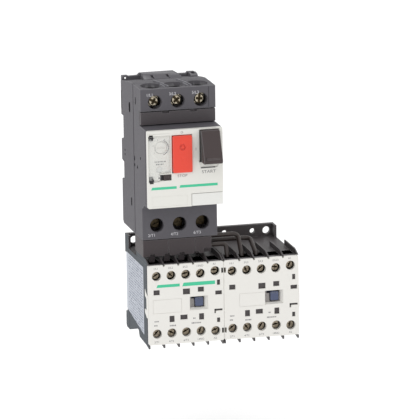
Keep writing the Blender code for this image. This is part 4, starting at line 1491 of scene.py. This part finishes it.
# %% Bend the jumper wires
skin_radius = 1.33
drop_y = seat_back - 45.5
wire_runs = (
    # distance in front of the rail seat, height
    (42.0, 28.6),
    (36.0, 32.6),
    (30.5, 28.4),
)
for number, (depth, height) in enumerate(wire_runs, 1):
    y = seat_back - depth
    end_x = pole_x(pitch, number - 1)
    route = [
        Vector((link_right - 0.6, y, height)),
        Vector((end_x, y, height)),
        Vector((end_x, drop_y, 21.5)),
        Vector((end_x, drop_y, 17.7)),
    ]
    curve = bpy.data.curves.new(f"jumper_{number}_path", "CURVE")
    curve.dimensions = "3D"
    curve.bevel_depth = skin_radius
    curve.bevel_resolution = 6
    curve.use_fill_caps = True
    points = bend(route, 3.2 if number > 1 else 2.4)
    line = curve.splines.new("POLY")
    line.points.add(len(points) - 1)
    for point, place in zip(line.points, points):
        point.co = (*place, 1.0)
    solid = mesh_of(curve)
    tube = bmesh.new()
    tube.from_mesh(solid)
    bpy.data.meshes.remove(solid)
    bmesh.ops.remove_doubles(tube, verts=tube.verts, dist=0.001)
    piece(f"jumper_{number}", tube, wire_skin, BASE, [f"jumper_wire_{number}"])

# %% [markdown]
# ## Printing
# Every mark is generic: terminal numbers, dial numbers, the words beside the two buttons and
# plain green bands. Text is drawn as a curve, turned into a mesh, laid flat on its face and
# given a hair of thickness, so it never fights with the plastic below it.


# %% Set up the printer
def lettering(bm, words, x, z, y, height, stretch=1.0):
    """Flat text centred on a point, standing just proud of the plane y."""
    curve = bpy.data.curves.new("lettering", "FONT")
    curve.body = words
    curve.size = height * 1.4
    curve.align_x = "CENTER"
    curve.align_y = "CENTER"
    curve.resolution_u = 3
    flat = mesh_of(curve)
    lay = Matrix(((stretch, 0, 0, x), (0, 0, 1, y - 0.03), (0, 1, 0, z), (0, 0, 0, 1)))
    flat.transform(lay)
    bm.from_mesh(flat)
    bpy.data.meshes.remove(flat)


def outline_print(bm, spots, y):
    """One flat printed shape, standing just proud of the plane y."""
    bm.faces.new([bm.verts.new((x, y - 0.04, z)) for x, z in spots])


def dashed_row(bm, x, z, y, wide, dash, high):
    """A row of dashes of uneven length. `dash` is (mean, swing, rate, phase, gap)."""
    mean, swing, rate, phase, space = dash
    along = 0.0
    while along < wide:
        size = mean + swing * math.sin(along * rate + phase)
        near, far = x + along, x + along + size
        outline_print(bm, ((near, z), (far, z), (far, z + high), (near, z + high)), y)
        along += size + space


def printed(name, bm, ink, body):
    """Prints are thin, so they get their thickness here and no soft edges."""
    bmesh.ops.remove_doubles(bm, verts=bm.verts, dist=0.0005)
    bm.normal_update()
    for face_up in bm.faces:
        if face_up.normal.y > 0:
            face_up.normal_flip()
    bmesh.ops.solidify(bm, geom=bm.faces[:], thickness=0.02)
    return piece(name, bm, ink, body, recalc=False)


trial = bmesh.new()
lettering(trial, "I", 0, 0, 0, 1.8)
print("the sign I is drawn with", len(trial.faces), "faces")
trial.free()

# %% [markdown]
# The terminal numbers stand in pale ink beside each screw. The button words are grey, and a
# small arrow points at the test slider.

# %% Print the terminal numbers and the button words
pale = bmesh.new()
for number, pole in enumerate(breaker_poles):
    lettering(pale, f"{number * 2 + 1}/L{number + 1}", pole - 3.1, upper_z + 4.4, terminal_y, 1.7)
    lettering(pale, f"{number * 2 + 2}/T{number + 1}", pole - 3.2, lower_z - 5.9, terminal_y, 1.7)
printed("terminal_numbers", pale, pale_ink, BASE)

words = bmesh.new()
lettering(words, "START", start_x - 0.6, face.top - 25.6, face_y, 1.7, 1.2)
lettering(words, "STOP", stop_x, face.top - 27.0, face_y, 1.5, 1.15)
lettering(words, "I", start.left - 2.4, face.top - 12.0, face_y, 1.8)
lettering(words, "O", stop_x, face.top - 1.7, face_y, 1.3)
lettering(words, "TEST", slider.left + 2.1, slider.top + 1.3, face_y + 1.15, 0.9)
arrow = [(slider.left - 3.4, slider.bottom + 1.5), (slider.left - 1.8, slider.bottom + 2.2)]
arrow += [(slider.left - 1.8, slider.bottom + 0.8)]
outline_print(words, arrow, face_y + 0.01)
printed("button_words", words, grey_ink, BASE)

# %% [markdown]
# Round the dial runs a thick arc with four numbers, printed on the floor of the lid's recess, and
# below it stand two rows of fine print, drawn as dashes. A thin line marks the finger scoop.

# %% Print round the dial
dial_ring = bmesh.new()
recess_y = face_y + 1.2
arc_angle, arc_steps = 72, 24
scale = arc(dial_x, dial_z, 4.6, -arc_angle, arc_angle, arc_steps)
scale += arc(dial_x, dial_z, 4.1, arc_angle, -arc_angle, arc_steps)
outline_print(dial_ring, scale, recess_y)
for number, angle in ((1, 215), (2, 165), (3, 115), (4, 65)):
    turn = math.radians(angle)
    x, z = dial_x + 4.75 * math.cos(turn), dial_z + 5.1 * math.sin(turn)
    lettering(dial_ring, str(number), x, z, recess_y, 1.0)
for row, (start_u, end_u) in enumerate(((4.6, 10.8), (5.4, 9.8))):
    height = face.top - 18.6 - row * 1.5
    dash = (0.5, 0.35, 7.1, row, 0.35)
    dashed_row(dial_ring, left + start_u, height, recess_y, end_u - start_u, dash, 0.75)
scoop_x, scoop_z = (left + 31.6, left + 40.0), face.top - 23.2
scoop_line = [(scoop_x[0], scoop_z - 0.2), (scoop_x[1], scoop_z - 0.2)]
scoop_line += [(scoop_x[1], scoop_z + 0.2), (scoop_x[0], scoop_z + 0.2)]
for level in (0.02, 0.57):
    outline_print(dial_ring, scoop_line, face_y + level)
printed("dial_marks", dial_ring, dark_ink, BASE)

# %% [markdown]
# Two plain green bands cross the breaker's face and two more cross the left contactor. Their
# left ends are cut on a slant.


# %% Print the green bands
def band(bm, left_x, right_x, middle_z, thick, y):
    """A plain band with its left end cut on a slant."""
    low, high = middle_z - thick / 2, middle_z + thick / 2
    outline_print(bm, ((left_x, low), (right_x, low), (right_x, high), (left_x + thick * 0.4, high)), y)


bands = bmesh.new()
band(bands, left + 2.0, left + 17.0, face.top - 33.6, 1.5, face_y)
band(bands, left + 18.6, left + 41.2, face.top - 33.2, 1.5, face_y)
printed("breaker_band", bands, green_ink, BASE)

bands = bmesh.new()
for start_u, end_u, down, thick in ((4.8, 18.6, 12.4, 1.7), (20.1, 39.6, 12.3, 2.1)):
    near, far = on_cover(0.0, start_u, down), on_cover(0.0, end_u, down)
    band(bands, near[0], far[0], near[1], thick, cover_y)
printed("contactor_band", bands, green_ink, BASE)

# %% [markdown]
# Both contactors carry the same terminal numbers, over and under the screws. The short words
# between the windows are too fine to read on the real object, so rows of dashes stand for them.

# %% Print the contactors
tiny = bmesh.new()
top_marks = ("1/L1", "3/L2", "5/L3", "13NO", "A1")
low_marks = ("2/T1", "4/T2", "6/T3", "14NO", "A2")
fine_print = (
    # from the left edge, from the top edge, width
    (3.4, 33.6, 2.6),
    (3.2, 36.0, 1.8),
    (12.4, 36.6, 3.6),
    (26.4, 33.2, 1.4),
    (25.4, 36.0, 5.2),
)
for cx in contactor_x.values():
    for pole, (over, under) in enumerate(zip(top_marks, low_marks)):
        x = pole_x(cx, pole) - 0.4
        raised = 0.5 if pole == 4 else 0.0
        lettering(tiny, over, x, cover.top - 1.9 + raised, cover_y, 1.15)
        lettering(tiny, under, x, cover.bottom + 1.7, cover_y, 1.15)
    for u, w, wide in fine_print:
        x, z = on_cover(cx, u, w)
        dashed_row(tiny, x, z, cover_y + 0.01, wide, (0.42, 0.22, 9.3, u, 0.3), 0.8)
printed("contactor_numbers", tiny, grey_ink, BASE)

# %% [markdown]
# A pale foil covers most of each contactor's outer wall. It is a thin slab with one slanting
# side, a hair proud of the wall, and its print comes from its material.

# %% Stick on the rating foil
outline = [(0.3, 18.6), (-41.5, 18.6), (-41.5, -21.5), (0.3, -15.5)]
for side, cx in contactor_x.items():
    outer = outward[side]
    wall = cx + outer * half_body
    foil = bmesh.new()
    slab(foil, outline, "x", *sorted((wall - outer * 0.1, wall + outer * 0.08)))
    soften(foil, 0.03, 1)
    piece(f"{side}_rating_foil", foil, rating_foil, BASE)

# %% [markdown]
# ## Nodes that keep their own shape
# The magnets, coils and the parts deep inside are already right, so they only change material.

# %% Dress the remaining nodes
dress = {
    "trip_mechanism": black_plastic_and_shade,
    "breaker_rail_latch": black_plastic_and_shade,
    "interlock_rocker": black_plastic_and_shade,
}
for side in contactor_x:
    dress[f"{side}_armature"] = laminated_iron
    dress[f"{side}_fixed_core"] = laminated_iron
    dress[f"{side}_coil"] = winding_tape
for name, finish in dress.items():
    nodes[name].data.materials.clear()
    nodes[name].data.materials.append(finish)
print("nodes with a new material:", len(dress))

# %% [markdown]
# ## Floor, light and camera
# The object stands clear of a bright white sweep, so nearly all the light is soft and comes
# from everywhere. One large lamp at the upper left gives the left sides their lift, a weaker one
# at the right keeps the far edges from going flat, and the world fills the rest.


# %% Lay the floor and hang the lamps
def rough_floor():
    made, tree, shader = empty_material("pale_sweep")
    place = tree.nodes.new("ShaderNodeTexCoord").outputs["Object"]
    tone = scaled_noise(tree, place, 3.0, 2.0)
    wire(tree, blend_colours(tree, tone, paint("FBFBFB"), paint("F6F6F6")), shader.inputs["Base Color"])
    shader.inputs["Roughness"].default_value = 0.9
    shader.inputs["Emission Color"].default_value = (1.0, 1.0, 1.0, 1.0)
    shader.inputs["Emission Strength"].default_value = 0.18
    return made


sweep = bmesh.new()
bmesh.ops.create_grid(sweep, x_segments=2, y_segments=2, size=3.0)
floor_mesh = bpy.data.meshes.new("floor")
bmesh.ops.translate(sweep, verts=sweep.verts, vec=(0, 0, -0.09))
sweep.to_mesh(floor_mesh)
sweep.free()
floor_mesh.materials.append(rough_floor())
floor = bpy.data.objects.new("floor", floor_mesh)
scene.collection.objects.link(floor)

world = bpy.data.worlds.new("white_room")
scene.world = world
world.use_nodes = True
world.node_tree.nodes["Background"].inputs["Color"].default_value = (1.0, 1.0, 1.0, 1.0)
world.node_tree.nodes["Background"].inputs["Strength"].default_value = 1.0


def lamp(name, spot, aim, size, power):
    data = bpy.data.lights.new(name, "AREA")
    data.shape = "DISK"
    data.size = size
    data.energy = power
    made = bpy.data.objects.new(name, data)
    scene.collection.objects.link(made)
    made.location = spot
    made.rotation_euler = (Vector(aim) - Vector(spot)).to_track_quat("-Z", "Y").to_euler()
    return made


aim = (0.02, -0.03, 0.05)
lamp("lamp_upper_left", (-0.75, -0.75, 0.95), aim, 0.6, 1.3)
lamp("lamp_right", (0.9, -0.9, 0.4), aim, 0.7, 0.3)

# %% [markdown]
# The camera is far away with a long lens, so upright edges stay nearly parallel. It stands a
# little left of the object, looks slightly down, and is rolled by less than a degree.

# %% Set the camera
yaw, tilt, roll = (math.radians(angle) for angle in (-14.12, 13.12, -0.8))
target = Vector((21.66, -26.5, 46.13)) * mm
toward = Vector((math.sin(yaw) * math.cos(tilt), -math.cos(yaw) * math.cos(tilt), math.sin(tilt)))
level_right = Vector((math.cos(yaw), math.sin(yaw), 0))
level_up = toward.cross(level_right)
lens_right = math.cos(roll) * level_right + math.sin(roll) * level_up
lens_up = toward.cross(lens_right)
camera_data = bpy.data.cameras.new("camera")
camera_data.lens = 428.57
camera_data.sensor_width = 36.0
camera_data.clip_start = 0.1
camera_data.clip_end = 100.0
camera = bpy.data.objects.new("camera", camera_data)
scene.collection.objects.link(camera)
turn = Matrix((lens_right, lens_up, toward)).transposed().to_4x4()
camera.matrix_world = Matrix.Translation(target + toward * 2.90393) @ turn
scene.camera = camera
scene.view_settings.view_transform = "Standard"
print("camera at", [round(value, 3) for value in camera.location])
